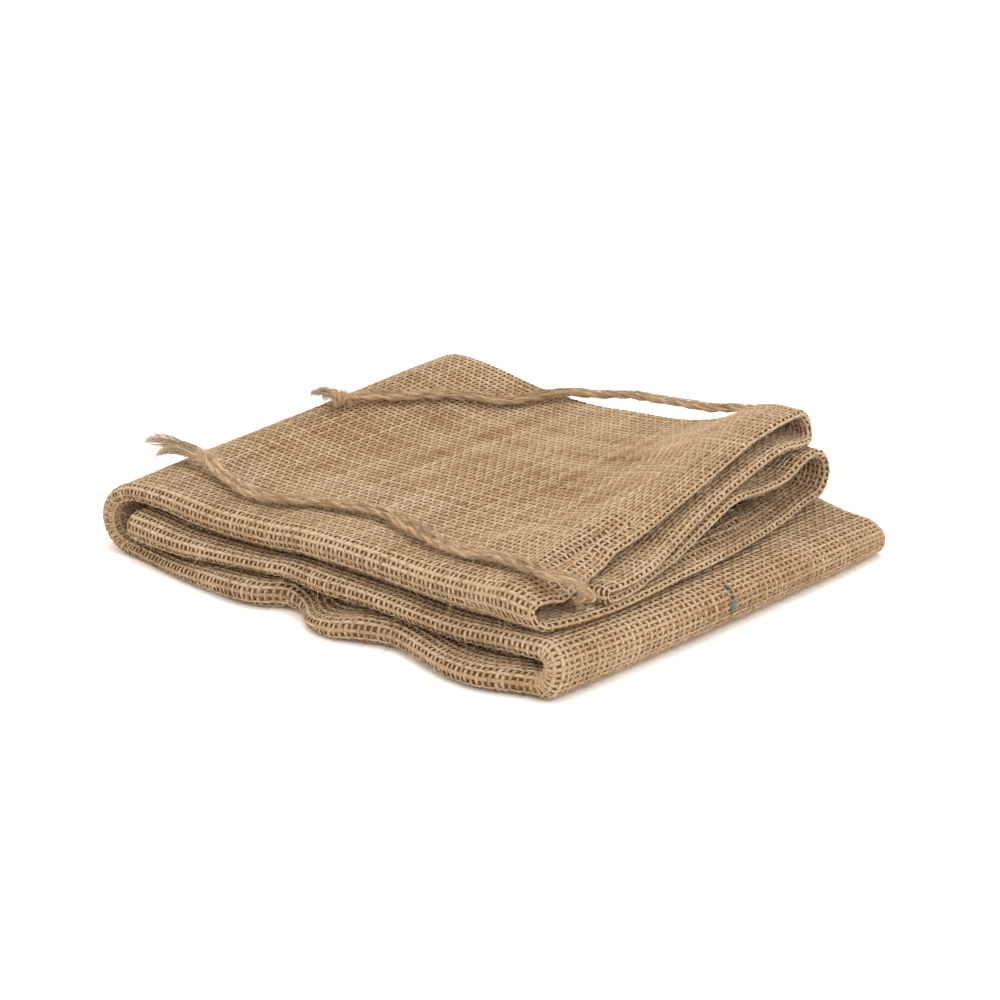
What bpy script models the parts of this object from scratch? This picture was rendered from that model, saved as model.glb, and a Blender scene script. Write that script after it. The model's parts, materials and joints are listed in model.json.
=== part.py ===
"""Jute sack folded to a flat parcel, with its drawstrings lying over it.

The sack is a flattened tube of coarse cloth, folded once along its length, so that four plies lie
on each other, and then folded twice across: the middle panel ends inside, turns down at the near
end into the bottom panel, and that one turns up at the far end into the top panel, whose last edge
is the open mouth. The cloth is one solid: its plies are one closed section, carried along the folds.

Table sizes are in millimetres, and millimetres() turns a point of theirs into the frame's metres:
  along   from the end where the top panel turns down, towards the mouth (+X)
  across  from the side with the single rolled edges, towards the other side (+Y)
  up      above the ground (+Z)
"""

import math

import bmesh
import bpy
from mathutils import Matrix, Vector

COLLECTION = "jute_sack"

MM = 0.001
LENGTH = 264.0
WIDTH = 232.0

# Cloth
PLY = 2.0               # one ply, with the air in its weave
HEM_PLY = 3.2           # the turned-over hem around the mouth
HEM_LENGTH = 26.0       # length over which the hem thickens
PANEL_GAP = 1.1         # between panels that lie on each other
PLY_GAP = 0.5           # between plies of one panel, which press thinner where it has no room

# The two crosswise folds
NEAR_FOLD_ALONG = 252.0     # where the near fold's curve starts
NEAR_FOLD_HOLLOW = 1.2      # depth of the slit inside the near fold
NEAR_FOLD_FULLNESS = 0.45   # power that squares its lower half, pressed flat on the floor
LEFT_FOLD_ALONG = 24.0      # where the left fold's curve starts
LEFT_FOLD_REACH = 24.0      # from there to the left end
LEFT_FOLD_HOLLOW = 14.0     # depth of the hollow inside the left fold
MIDDLE_END_ALONG = 25.0     # the sack's sewn bottom, inside the left fold
SEAM = 3.0                  # depth of that closed end

# Long edge on the single-roll side: where each panel's roll ends across, the height of the slit
# between bottom and middle panel, how far that slit gapes, and the height of the next slit.
NEAR_EDGE = (
    # along  bottom  middle  top   slit_low  gape  slit_high
    (0.0, 15.0, 12.0, 16.0, 7.0, 0.0, 21.0),
    (20.0, 11.0, 8.5, 14.5, 6.8, 0.0, 22.2),
    (40.0, 8.0, 6.5, 13.5, 7.0, 0.0, 22.0),
    (58.0, 5.0, 6.0, 13.0, 8.2, 0.2, 20.0),
    (78.0, 3.0, 7.0, 13.0, 10.2, 0.0, 19.2),
    (95.0, 2.0, 8.5, 13.5, 12.0, 0.0, 19.3),
    (108.0, 4.0, 9.5, 14.0, 12.8, 0.2, 20.3),
    (118.0, 11.0, 11.0, 15.0, 13.0, 0.6, 21.5),
    (128.0, 11.0, 11.0, 15.0, 11.5, 3.4, 22.0),
    (140.0, 3.0, 10.0, 15.0, 11.0, 3.8, 22.5),
    (154.0, 0.0, 10.0, 15.0, 11.5, 1.6, 22.5),
    (166.0, 4.0, 10.0, 15.0, 12.5, 0.3, 22.0),
    (180.0, 9.0, 11.0, 15.0, 11.5, 0.0, 21.5),
    (196.0, 6.0, 11.0, 15.0, 11.0, 0.3, 20.5),
    (212.0, 2.0, 11.0, 15.0, 10.5, 0.6, 20.5),
    (230.0, 1.0, 12.0, 15.0, 11.0, 0.6, 21.5),
    (244.0, 6.0, 13.0, 15.0, 12.0, 0.4, 22.5),
    (264.0, 15.0, 15.0, 16.0, 12.0, 0.2, 23.5),
)
EDGE_DEPTH = 45.0       # how far in from the edge its heights reach
SLIT_LOW = 12.0         # the two slits' heights inside the parcel
SLIT_HIGH = 22.0
OPEN_EDGE_BOTTOM = 232.0    # the other long edge, panel by panel
OPEN_EDGE_MIDDLE = 229.0
OPEN_EDGE_TOP = 223.0

# Heights of the two slits beside the near fold, which thins towards the open side, and how far the
# fold reaches from the start of its curve.
NEAR_FOLD = (
    # across  slit_low  slit_high  reach
    (15.0, 12.0, 23.5, 11.6),
    (60.0, 11.0, 21.5, 13.4),
    (120.0, 10.5, 20.5, 14.2),
    (190.0, 9.5, 19.3, 13.8),
    (232.0, 8.0, 17.5, 11.8),
)
NEAR_FOLD_BLEND = 42.0

# Height of the top panel's upper side, a row across the parcel for each place along it.
TOP_ACROSS = (22.0, 50.0, 85.0, 120.0, 160.0, 195.0, 225.0)
TOP = (
    # along   heights at those places across
    (0.0, 25.5, 28.0, 31.5, 35.0, 38.5, 41.0, 41.5),
    (12.0, 29.4, 31.9, 35.9, 39.4, 43.6, 46.8, 47.7),
    (26.0, 32.5, 35.2, 38.2, 40.7, 44.0, 47.2, 49.2),
    (46.0, 34.0, 35.0, 37.0, 38.5, 40.8, 44.3, 47.4),
    (74.0, 34.0, 34.5, 35.5, 36.5, 38.0, 39.8, 42.4),
    (104.0, 35.0, 35.0, 36.0, 37.0, 37.5, 38.5, 40.3),
    (132.0, 36.5, 35.5, 36.5, 38.0, 38.5, 39.5, 42.2),
    (160.0, 37.0, 36.0, 37.0, 39.0, 40.5, 42.0, 44.5),
    (182.0, 37.0, 36.5, 38.0, 41.0, 44.5, 47.5, 49.5),
    (202.0, 37.5, 38.0, 39.0, 43.0, 49.0, 54.0, 56.5),
    (222.0, 38.0, 39.0, 40.5, 44.5, 53.0, 60.2, 61.4),
    (252.0, 39.0, 39.5, 41.0, 46.0, 55.0, 62.5, 61.6),
)

# The mouth: where each ply ends along, and how high the two inner plies lie in the panel's depth.
# The lower outer ply rises from its lowest place by the lift.
MOUTH = (
    # across  lower  inner_low  inner_high  upper  level_low  level_high  lift
    (15.0, 249.0, 248.0, 246.0, 245.0, 0.30, 0.60, 0.0),
    (36.0, 252.5, 252.0, 250.0, 244.5, 0.20, 0.56, 0.0),
    (52.0, 253.0, 253.5, 252.0, 240.5, 0.20, 0.52, 0.0),
    (66.0, 253.0, 252.5, 252.0, 236.5, 0.24, 0.50, 0.0),
    (84.0, 253.0, 248.5, 250.0, 234.5, 0.31, 0.55, 0.0),
    (106.0, 251.5, 244.0, 244.0, 232.5, 0.31, 0.60, 0.0),
    (128.0, 249.0, 241.0, 239.0, 230.5, 0.46, 0.66, 0.0),
    (150.0, 246.0, 239.0, 237.0, 229.0, 0.59, 0.73, 0.0),
    (172.0, 242.5, 238.0, 235.5, 227.0, 0.49, 0.76, 0.5),
    (189.0, 240.0, 237.5, 234.5, 228.0, 0.47, 0.76, 2.0),
    (204.0, 237.0, 236.5, 232.5, 227.5, 0.58, 0.70, 4.0),
    (225.0, 235.0, 235.0, 230.0, 224.0, 0.61, 0.69, 6.0),
)
MOUTH_ALONG = 249.0     # the top panel's last station, before each ply's own end
MOUTH_BLEND = 75.0      # length over which the mouth's shape dies out
LEVEL_LOW = 0.37        # heights of the inner plies elsewhere, as parts of a panel's depth
LEVEL_HIGH = 0.63
INNER_START = 34.0      # across, where the inner plies turn back beside the single roll
MOUTH_INNER_START = 52.0    # the same at the mouth
LEFT_RISE_ALONG = 110.0     # up to here the upper slit rises towards the left fold
LEFT_RISE = 0.16            # by this part of the top's height above the rise's base
LEFT_RISE_BASE = 20.0

# Stations along the cloth, from the sewn bottom to the mouth
MIDDLE_STEPS = 8
FIRST_STEP = 12.0       # from the sewn bottom to the first of them
BOTTOM_STEPS = 20
TOP_STEPS = 13
FOLD_STEPS = 6
PLY_POINTS = 8          # points across each outer ply
LOOP_POINTS = 5         # points around the single roll, between those of its plies
LOOP_SPREAD = 0.25      # how little a ply's points crowd towards its ends; 0 is most
SIDE_START = 4.0        # how far in from the open edge its turns are measured
INNER_LOOP_POINTS = 3   # the same around the inner turn
SIDE_LOOP_POINTS = 3    # and around the two turns on the open side

# Drawstrings, a two-strand twine laid double
TWINE = 2.9             # across one twine, over its strands
STRANDS = 2
STRAND_BULGE = 0.14     # how far the strands stand out, as a part of the twine's radius
TWIST_PITCH = 21.0      # length of one full turn of its strands
TWINE_STEP = 2.8
TWINE_SIDES = 6
# Routes down the middle of each pair, with half the distance between its two twines. The height
# is the pair's middle above the top panel's upper side, or above the ground where a row says so.
NEAR_TWINE = (
    # along  across  height  from_ground  half_spread
    (243.0, 43.0, 29.5, True, 1.7),
    (252.0, 40.0, 31.0, True, 1.7),
    (257.0, 37.5, 35.5, True, 1.7),
    (253.0, 33.0, 41.5, True, 1.7),
    (245.0, 30.0, 42.3, True, 1.7),
    (233.0, 33.0, 2.6, False, 1.8),
    (216.0, 35.0, 2.3, False, 1.7),
    (200.0, 32.5, 2.3, False, 2.0),
    (181.0, 35.5, 2.3, False, 1.8),
    (161.0, 42.0, 2.3, False, 2.3),
    (141.0, 48.0, 2.3, False, 1.8),
    (122.0, 45.5, 2.3, False, 1.8),
    (106.0, 41.0, 2.3, False, 1.7),
    (92.0, 33.0, 2.4, False, 1.8),
    (78.0, 32.3, 2.4, False, 2.0),
    (66.0, 35.3, 2.4, False, 1.8),
    (53.6, 39.4, 2.5, False, 1.7),
    (41.7, 43.2, 38.6, True, 1.7),
)
REAR_TWINE = (
    # along  across  height  from_ground  half_spread
    (213.0, 229.5, 44.5, True, 1.7),
    (200.0, 231.5, 50.5, True, 1.7),
    (183.0, 230.5, 50.3, True, 2.4),
    (167.0, 229.5, 47.5, True, 1.9),
    (152.0, 229.5, 46.5, True, 1.7),
    (138.0, 228.5, 46.0, True, 1.7),
    (122.0, 228.0, 45.0, True, 1.7),
    (106.0, 225.5, 42.5, True, 1.7),
    (93.0, 217.0, 2.6, False, 1.7),
    (84.0, 204.0, 2.3, False, 1.7),
    (78.0, 191.5, 2.3, False, 1.8),
    (67.0, 186.0, 2.3, False, 1.9),
    (55.0, 177.0, 2.3, False, 1.8),
    (47.0, 166.5, 2.4, False, 1.8),
    (40.5, 157.0, 2.4, False, 1.7),
    (34.6, 148.5, 2.9, False, 1.7),
    (30.9, 139.2, 45.3, True, 1.7),
)

# Knots: the two twines pulled tight in a short body, with wraps around it, and their free ends.
KNOT_LENGTH = 10.0
KNOT_RADIUS = 2.9
KNOT_ROUNDING = 1.2
KNOT_ROUNDING_STEPS = 2
KNOT_SIDES = 12
WRAP_RADIUS = 2.5
WRAP_THICKNESS = 1.3
WRAP_STEPS = 14
WRAP_SIDES = 6
WRAPS = (
    # shift  lean
    (-1.9, 20.0),
    (1.7, -24.0),
)
TAIL_TIP = 1.15         # a frayed end's thickness at its tip, as a part of the twine's
NEAR_KNOT = (36.0, 45.3, 39.4)
NEAR_TAILS = (
    ((33.5, 46.2, 40.4), (26.0, 47.8, 40.9), (18.2, 49.0, 40.5), (9.0, 49.0, 40.4),
     (0.8, 48.2, 41.1), (-5.5, 47.2, 40.2), (-9.3, 46.6, 37.7)),
    ((33.8, 44.2, 38.9), (24.0, 44.0, 40.2), (16.7, 44.0, 40.0), (10.0, 44.0, 39.5),
     (5.3, 44.0, 37.6), (2.3, 44.0, 34.2)),
)
REAR_KNOT = (29.2, 133.2, 45.7)
REAR_TAILS = (
    ((27.0, 133.4, 46.4), (19.5, 133.8, 47.3), (13.5, 134.2, 46.6), (9.0, 134.8, 43.6)),
    ((27.0, 134.6, 45.4), (19.5, 136.8, 45.9), (14.0, 137.8, 44.4)),
)


def millimetres(along, across, up):
    """The frame's point, in metres, for a place on the parcel."""
    return Vector((along - LENGTH / 2, across - WIDTH / 2, up)) * MM


def ease(low, high, value):
    """0 below low, 1 above high, and a smooth step between."""
    part = min(1.0, max(0.0, (value - low) / (high - low)))
    return part * part * (3.0 - 2.0 * part)


def mix(first, second, part):
    return first + (second - first) * part


def read(table, column, place):
    """A table's column at a place along its first column, on a smooth curve through the rows."""
    rows = [(row[0], row[column]) for row in table]
    if place <= rows[0][0]:
        return rows[0][1]
    if place >= rows[-1][0]:
        return rows[-1][1]
    index = max(i for i, row in enumerate(rows[:-1]) if row[0] <= place)

    def slope(i):
        before, after = rows[max(i - 1, 0)], rows[min(i + 1, len(rows) - 1)]
        return (after[1] - before[1]) / (after[0] - before[0])

    (start, low), (end, high) = rows[index], rows[index + 1]
    span = end - start
    t = (place - start) / span
    return (
        (1 + 2 * t) * (1 - t) ** 2 * low + t * (1 - t) ** 2 * span * slope(index)
        + t * t * (3 - 2 * t) * high + t * t * (t - 1) * span * slope(index + 1)
    )


def top_height(along, across):
    """Height of the top panel's upper side."""
    rows = tuple(
        (place, read(TOP, column + 1, along)) for column, place in enumerate(TOP_ACROSS)
    )
    return read(rows, 1, across)


def slit_heights(along, across):
    """Heights of the two slits between the panels, and how far the lower one gapes."""
    inside = ease(0.0, EDGE_DEPTH, across - read(NEAR_EDGE, 1, along))
    low = mix(read(NEAR_EDGE, 4, along), SLIT_LOW, inside)
    gape = mix(read(NEAR_EDGE, 5, along), 0.0, inside)
    high = mix(read(NEAR_EDGE, 6, along), SLIT_HIGH, inside)
    left = 1.0 - ease(0.0, LEFT_RISE_ALONG, along)
    high += left * inside * LEFT_RISE * (top_height(along, across) - LEFT_RISE_BASE)
    near = ease(NEAR_FOLD_ALONG - NEAR_FOLD_BLEND, NEAR_FOLD_ALONG, along)
    return (
        mix(low, read(NEAR_FOLD, 1, across), near),
        gape,
        mix(high, read(NEAR_FOLD, 2, across), near),
    )


def panel_sides(panel, along, across):
    """Heights of a panel's inner and outer side; outer faces away from the turn that it leads to."""
    low, gape, high = slit_heights(along, across)
    half = PANEL_GAP / 2
    if panel == "bottom":
        return low - half - gape, 0.0
    if panel == "middle":
        return low + half, high - half
    return high + half, top_height(along, across)


def turn(panels, fold_along, reach, hollow, fullness, angle, across):
    """Inner and outer point of the cloth on its way around a crosswise fold.

    The angle goes from 90 degrees at the upper panel to -90 degrees at the lower one, and the
    fold's reach is negative where it turns at the left end. The fullness is 1 for a plain ellipse, and
    less squares the lower half.
    """
    upper, lower = (panel_sides(panel, fold_along, across) for panel in panels)
    # The inner side is the one that both panels turn to each other.
    sine = math.sin(angle)
    cosine = max(math.cos(angle), 0.0) ** (fullness if angle < 0.0 else 1.0)
    points = []
    for depth, above, below in ((hollow, upper[0], lower[0]), (reach, upper[1], lower[1])):
        middle, half = (above + below) / 2, (above - below) / 2
        points.append((fold_along + depth * cosine, middle + half * sine))
    return points


def stations():
    """The cloth's stations from its sewn bottom to its mouth, as kind and place."""
    def steps(start, end, count):
        return [mix(start, end, i / count) for i in range(count)]

    first = MIDDLE_END_ALONG
    result = [("middle", first), ("middle", first + SEAM)]
    result += [("middle", a) for a in steps(first + FIRST_STEP, NEAR_FOLD_ALONG, MIDDLE_STEPS)]
    result += [("near_fold", a) for a in steps(math.pi / 2, -math.pi / 2, FOLD_STEPS)]
    result += [("bottom", a) for a in steps(NEAR_FOLD_ALONG, LEFT_FOLD_ALONG, BOTTOM_STEPS)]
    result += [("left_fold", a) for a in steps(-math.pi / 2, math.pi / 2, FOLD_STEPS)]
    result += [("top", a) for a in steps(LEFT_FOLD_ALONG, MOUTH_ALONG, TOP_STEPS)]
    result.append(("top", MOUTH_ALONG))
    return result


def sides(kind, place, across):
    """Inner and outer point of the cloth, as along and up, at a station."""
    if kind == "near_fold":
        reach = read(NEAR_FOLD, 3, across)
        return turn(("middle", "bottom"), NEAR_FOLD_ALONG, reach, NEAR_FOLD_HOLLOW,
                    NEAR_FOLD_FULLNESS, place, across)
    if kind == "left_fold":
        return turn(("top", "bottom"), LEFT_FOLD_ALONG, -LEFT_FOLD_REACH, -LEFT_FOLD_HOLLOW,
                    1.0, place, across)
    inner, outer = panel_sides(kind, place, across)
    return [(place, inner), (place, outer)]


def edges(kind, place):
    """Where a station's cloth starts and ends across."""
    near = {"bottom": 1, "middle": 2, "top": 3}
    far = {"bottom": OPEN_EDGE_BOTTOM, "middle": OPEN_EDGE_MIDDLE, "top": OPEN_EDGE_TOP}
    if kind in near:
        return read(NEAR_EDGE, near[kind], place), far[kind]
    down = (1.0 - math.sin(place)) / 2
    upper, along = ("middle", NEAR_FOLD_ALONG) if kind == "near_fold" else ("top", LEFT_FOLD_ALONG)
    return (
        mix(read(NEAR_EDGE, near[upper], along), read(NEAR_EDGE, near["bottom"], along), down),
        mix(far[upper], far["bottom"], down),
    )


def mouth_part(kind, place):
    """How far a station has taken on the mouth's shape, from 0 to 1."""
    return ease(MOUTH_ALONG - MOUTH_BLEND, MOUTH_ALONG, place) if kind == "top" else 0.0


def ply_thickness(kind, place, depth):
    """Thickness of one ply, with the hem, where the panel's four plies are so deep together."""
    hem_start = MOUTH_ALONG - HEM_LENGTH
    hem = ease(hem_start, hem_start + HEM_LENGTH / 2, place) if kind == "top" else 0.0
    return min(mix(PLY, HEM_PLY, hem), (depth - 3 * PLY_GAP) / 4)


def levels(kind, place, across, depth):
    """Heights of the four plies' middles above the panel's inner side, lowest first."""
    ply = ply_thickness(kind, place, depth)
    mouth = mouth_part(kind, place)
    lift = mouth * read(MOUTH, 7, across)
    low = mix(LEVEL_LOW, read(MOUTH, 5, across), mouth)
    high = mix(LEVEL_HIGH, read(MOUTH, 6, across), mouth)
    lowest, highest = ply / 2 + lift, depth - ply / 2
    room = ply + PLY_GAP
    inner_low = max(lowest + room, low * depth)
    inner_high = min(highest - room, max(inner_low + room, high * depth))
    return lowest, min(inner_low, inner_high - room), inner_high, highest


def half_circle(centre, radius, start, count):
    """Points inside a half circle in the section's plane, going around by minus 180 degrees."""
    turns = [start - math.pi * (i + 1) / (count + 1) for i in range(count)]
    return [(centre[0] + radius * math.cos(t), centre[1] + radius * math.sin(t)) for t in turns]


def section(kind, place):
    """The cloth's closed outline and its hollow's as points (across, height), with the count of
    points in each of its two chains and a function that gives the depth across.

    Two chains of points run from the open side's lower turn to its upper turn: one along the outer
    plies and around the single roll, the other along the inner plies and around the inner turn.
    """
    near, far = edges(kind, place)

    def depth(across):
        inner, outer = sides(kind, place, across)
        return math.hypot(outer[0] - inner[0], outer[1] - inner[1])

    def half_ply(across):
        return ply_thickness(kind, place, depth(across)) / 2

    def level(across, index):
        return levels(kind, place, across, depth(across))[index]

    def chain(start, end, low, high, points, loop):
        """Points along a lower ply, around its turn and back along the upper one."""
        radius = (level(start, high) - level(start, low)) / 2
        turn_at = start + radius
        spread = [ease(-LOOP_SPREAD, 1 + LOOP_SPREAD, i / (points - 1)) for i in range(points)]
        first, last = spread[0], spread[-1]
        across = [mix(end, turn_at, (s - first) / (last - first)) for s in spread]
        lower = [(a, level(a, low)) for a in across]
        upper = [(a, level(a, high)) for a in reversed(across)]
        middle = (lower[-1][1] + upper[0][1]) / 2
        radius = (upper[0][1] - lower[-1][1]) / 2
        around = half_circle((turn_at, middle), radius, -math.pi / 2, loop)
        return lower + around + upper

    rim = [level(far - SIDE_START, index) for index in range(4)]
    reach = far - max(rim[1] - rim[0], rim[3] - rim[2]) / 2 - half_ply(far)
    outer_chain = chain(near + half_ply(near), reach, 0, 3, PLY_POINTS, LOOP_POINTS)
    inner_points = PLY_POINTS + (LOOP_POINTS - INNER_LOOP_POINTS) // 2
    inner_start = mix(INNER_START, MOUTH_INNER_START, mouth_part(kind, place))
    inner_chain = chain(inner_start, reach, 1, 2, inner_points, INNER_LOOP_POINTS)
    count = len(outer_chain)

    def side_turn(low, high):
        centre = (reach, (low[1] + high[1]) / 2)
        return half_circle(centre, (high[1] - low[1]) / 2, math.pi / 2, SIDE_LOOP_POINTS)

    top_turn = side_turn(inner_chain[-1], outer_chain[-1])
    low_turn = side_turn(outer_chain[0], inner_chain[0])
    middle = outer_chain + top_turn + inner_chain[::-1] + low_turn
    offsets = [half_ply(across) for across, height in middle]
    return outline(middle, offsets), outline(middle, [-offset for offset in offsets]), count, depth


def outline(points, offsets):
    """A closed row of points, each moved sideways by its offset."""
    moved = []
    for i, point in enumerate(points):
        before, after = points[i - 1], points[(i + 1) % len(points)]
        length = math.dist(before, after)
        normal = ((before[1] - after[1]) / length, (after[0] - before[0]) / length)
        moved.append((point[0] + offsets[i] * normal[0], point[1] + offsets[i] * normal[1]))
    return moved


def on_cloth(kind, place, across, height, depth):
    """The frame's point for a section's point: its height goes from the inner to the outer side."""
    inner, outer = sides(kind, place, across)
    part = height / depth(across)
    along = mix(inner[0], outer[0], part)
    mouth = mouth_part(kind, place)
    if mouth > 0.0:
        along += mouth * (mouth_end(across, part) - MOUTH_ALONG)
    return millimetres(along, across, mix(inner[1], outer[1], part))


def mouth_end(across, part):
    """Where the cloth ends along, at a height given as a part of the top panel's depth."""
    heights = (
        (0.0, read(MOUTH, 1, across)),
        (read(MOUTH, 5, across), read(MOUTH, 2, across)),
        (read(MOUTH, 6, across), read(MOUTH, 3, across)),
        (1.0, read(MOUTH, 4, across)),
    )
    return read(heights, 1, part)


def close_loops(mesh, first, second):
    """Quads between two closed rows of as many vertices."""
    for i in range(len(first)):
        mesh.faces.new((first[i - 1], first[i], second[i], second[i - 1]))


def close_end(mesh, row, count):
    """Quads across the space between the outer plies' chain and the inner plies' chain."""
    outer, rest = row[:count], row[count:]
    top_turn = rest[:SIDE_LOOP_POINTS]
    inner = rest[SIDE_LOOP_POINTS:SIDE_LOOP_POINTS + count][::-1]
    low_turn = rest[SIDE_LOOP_POINTS + count:]
    for i in range(count - 1):
        mesh.faces.new((outer[i], outer[i + 1], inner[i + 1], inner[i]))
    mesh.faces.new([outer[-1], *top_turn, inner[-1]])
    mesh.faces.new([inner[0], *low_turn, outer[0]])


def sack_mesh():
    """The cloth: its section carried from the sewn bottom to the mouth."""
    mesh = bmesh.new()
    outside, inside = [], []
    for kind, place in stations():
        outer, inner, count, depth = section(kind, place)
        for rows, points in ((outside, outer), (inside, inner)):
            rows.append([mesh.verts.new(on_cloth(kind, place, *point, depth)) for point in points])
    # The sewn bottom is closed: the hollow starts at the second station.
    for vertex in inside[0]:
        mesh.verts.remove(vertex)
    inside = inside[1:]
    close_end(mesh, outside[0], count)
    close_end(mesh, inside[0], count)
    for rows in (outside, inside):
        for first, second in zip(rows, rows[1:]):
            close_loops(mesh, first, second)
    close_loops(mesh, outside[-1], inside[-1])
    bmesh.ops.recalc_face_normals(mesh, faces=mesh.faces)
    bmesh.ops.triangulate(mesh, faces=mesh.faces)
    return mesh


def smooth_route(points, step):
    """Points a step apart on a smooth curve through the route's own points."""
    result = []
    last = len(points) - 1
    for i in range(last):
        before, start = points[max(i - 1, 0)], points[i]
        end, after = points[i + 1], points[min(i + 2, last)]
        count = max(1, round((end - start).length / (step * MM)))
        for j in range(count):
            t = j / count
            result.append(0.5 * (
                2 * start + (end - before) * t
                + (2 * before - 5 * start + 4 * end - after) * t * t
                + (3 * start - before - 3 * end + after) * t ** 3
            ))
    result.append(points[-1])
    return result


def twine_points(table, side):
    """The middle of one twine of a pair, beside the pair's route: side is 1 or -1."""
    places = [Vector(row[:2]) for row in table]
    points = []
    for i, (along, across, height, from_ground, half_spread) in enumerate(table):
        ahead = places[min(i + 1, len(places) - 1)] - places[max(i - 1, 0)]
        beside = Vector((-ahead.y, ahead.x)).normalized() * half_spread * side
        place = places[i] + beside
        up = height if from_ground else height + top_height(*place)
        points.append(millimetres(place.x, place.y, up))
    return smooth_route(points, TWINE_STEP)


def twine_mesh(points, tip=1.0):
    """A twine along points, its two strands raised around it, drawn down to the tip's thickness."""
    mesh = bmesh.new()
    rings = []
    run = 0.0
    beside = None
    for i, place in enumerate(points):
        before, after = points[max(i - 1, 0)], points[min(i + 1, len(points) - 1)]
        ahead = (after - before).normalized()
        beside = ahead.orthogonal() if beside is None else beside - ahead * beside.dot(ahead)
        beside.normalize()
        upward = ahead.cross(beside)
        run += (place - before).length
        twist = 2 * math.pi * run / (TWIST_PITCH * MM)
        thickness = TWINE * MM * mix(1.0, tip, i / (len(points) - 1))
        ring = []
        for side in range(TWINE_SIDES):
            turned = 2 * math.pi * side / TWINE_SIDES
            radius = thickness / 2 * (1 - STRAND_BULGE * (1 - math.cos(STRANDS * (turned - twist))))
            out = beside * math.cos(turned) + upward * math.sin(turned)
            ring.append(mesh.verts.new(place + out * radius))
        rings.append(ring)
    for first, second in zip(rings, rings[1:]):
        close_loops(mesh, first, second)
    mesh.faces.new(rings[0])
    mesh.faces.new(rings[-1])
    bmesh.ops.recalc_face_normals(mesh, faces=mesh.faces)
    return mesh


def join_to(item, other):
    """Adds another mesh object to an item's solid."""
    other.hide_render = True
    other.display_type = "WIRE"
    union = item.modifiers.new("join " + other.name, "BOOLEAN")
    union.operation = "UNION"
    union.object = other


def add_knot(name, centre, axis, tails, surface, collection, guides):
    """A knot around an axis, with its wraps and free ends joined on."""
    core = bmesh.new()
    bmesh.ops.create_cone(core, cap_ends=True, segments=KNOT_SIDES, radius1=KNOT_RADIUS * MM,
                          radius2=KNOT_RADIUS * MM, depth=KNOT_LENGTH * MM)
    knot = add_object(name, core, surface, collection)
    knot.location = millimetres(*centre)
    knot.rotation_euler = axis.to_track_quat("Z", "Y").to_euler()
    rounding = knot.modifiers.new("rounding", "BEVEL")
    rounding.width = KNOT_ROUNDING * MM
    rounding.segments = KNOT_ROUNDING_STEPS
    for i, (shift, lean) in enumerate(WRAPS):
        bpy.ops.mesh.primitive_torus_add(
            major_segments=WRAP_STEPS, minor_segments=WRAP_SIDES, major_radius=WRAP_RADIUS * MM,
            minor_radius=WRAP_THICKNESS * MM)
        wrap = bpy.context.object
        wrap.name = f"{name}_wrap_{i}"
        for owner in wrap.users_collection:
            owner.objects.unlink(wrap)
        guides.objects.link(wrap)
        wrap.location = knot.location + axis.normalized() * shift * MM
        turned = axis.to_track_quat("Z", "Y").to_matrix() @ Matrix.Rotation(math.radians(lean), 3, "X")
        wrap.rotation_euler = turned.to_euler()
        join_to(knot, wrap)
    for i, tail in enumerate(tails):
        points = smooth_route([millimetres(*place) for place in tail], TWINE_STEP)
        join_to(knot, add_object(f"{name}_tail_{i}", twine_mesh(points, TAIL_TIP), surface, guides))
    return knot


def material(name, colour, roughness):
    made = bpy.data.materials.new(name)
    made.use_nodes = True
    shader = made.node_tree.nodes["Principled BSDF"]
    shader.inputs["Base Color"].default_value = (*colour, 1.0)
    shader.inputs["Roughness"].default_value = roughness
    shader.inputs["Metallic"].default_value = 0.0
    made.diffuse_color = (*colour, 1.0)
    return made


def add_object(name, mesh, surface, collection):
    """An object of its own node, from a bmesh."""
    data = bpy.data.meshes.new(name)
    mesh.to_mesh(data)
    mesh.free()
    data.materials.append(surface)
    made = bpy.data.objects.new(name, data)
    collection.objects.link(made)
    return made


def clear_scene():
    for item in list(bpy.data.objects):
        bpy.data.objects.remove(item, do_unlink=True)


def new_collection(name):
    made = bpy.data.collections.new(name)
    bpy.context.scene.collection.children.link(made)
    return made


def main():
    clear_scene()
    collection = new_collection(COLLECTION)
    guides = new_collection("guides")
    jute = material("jute cloth", (0.48, 0.31, 0.16), 0.95)
    string = material("jute twine", (0.36, 0.23, 0.12), 0.95)
    add_object("sack", sack_mesh(), jute, collection)
    sets = (
        ("near", NEAR_TWINE, NEAR_KNOT, NEAR_TAILS),
        ("rear", REAR_TWINE, REAR_KNOT, REAR_TAILS),
    )
    for place, table, centre, tails in sets:
        ends = []
        for label, side in (("a", 1), ("b", -1)):
            points = twine_points(table, side)
            add_object(f"twine_{place}_{label}", twine_mesh(points), string, collection)
            ends.append(points[-1])
        axis = millimetres(*centre) - (ends[0] + ends[1]) / 2
        add_knot(f"knot_{place}", centre, axis, tails, string, collection, guides)


if __name__ == "__main__":
    main()
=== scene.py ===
"""Jute sack folded to a flat parcel, with its two pairs of drawstrings and their knots.

The cloth is a flattened tube, folded once along its length and twice across. FoldMap says where each
place of that tube lies; the sheet, its woven yarns and its loose fibres are all laid out on it, so
the threads run over the rolls, around the folds and over the hem as they do in the real cloth.

Parcel tables are in millimetres and are read as
  along   from the end where the top panel turns down, towards the mouth (+X)
  across  from the side with the single rolled edges, towards the other side (+Y)
  up      above the ground (+Z)
Everything else is in metres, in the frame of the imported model.
"""

import json
import logging
import math
from dataclasses import dataclass, field
from enum import Enum

import bmesh
import bpy
import numpy as np
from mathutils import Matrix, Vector
from mathutils.bvhtree import BVHTree

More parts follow.
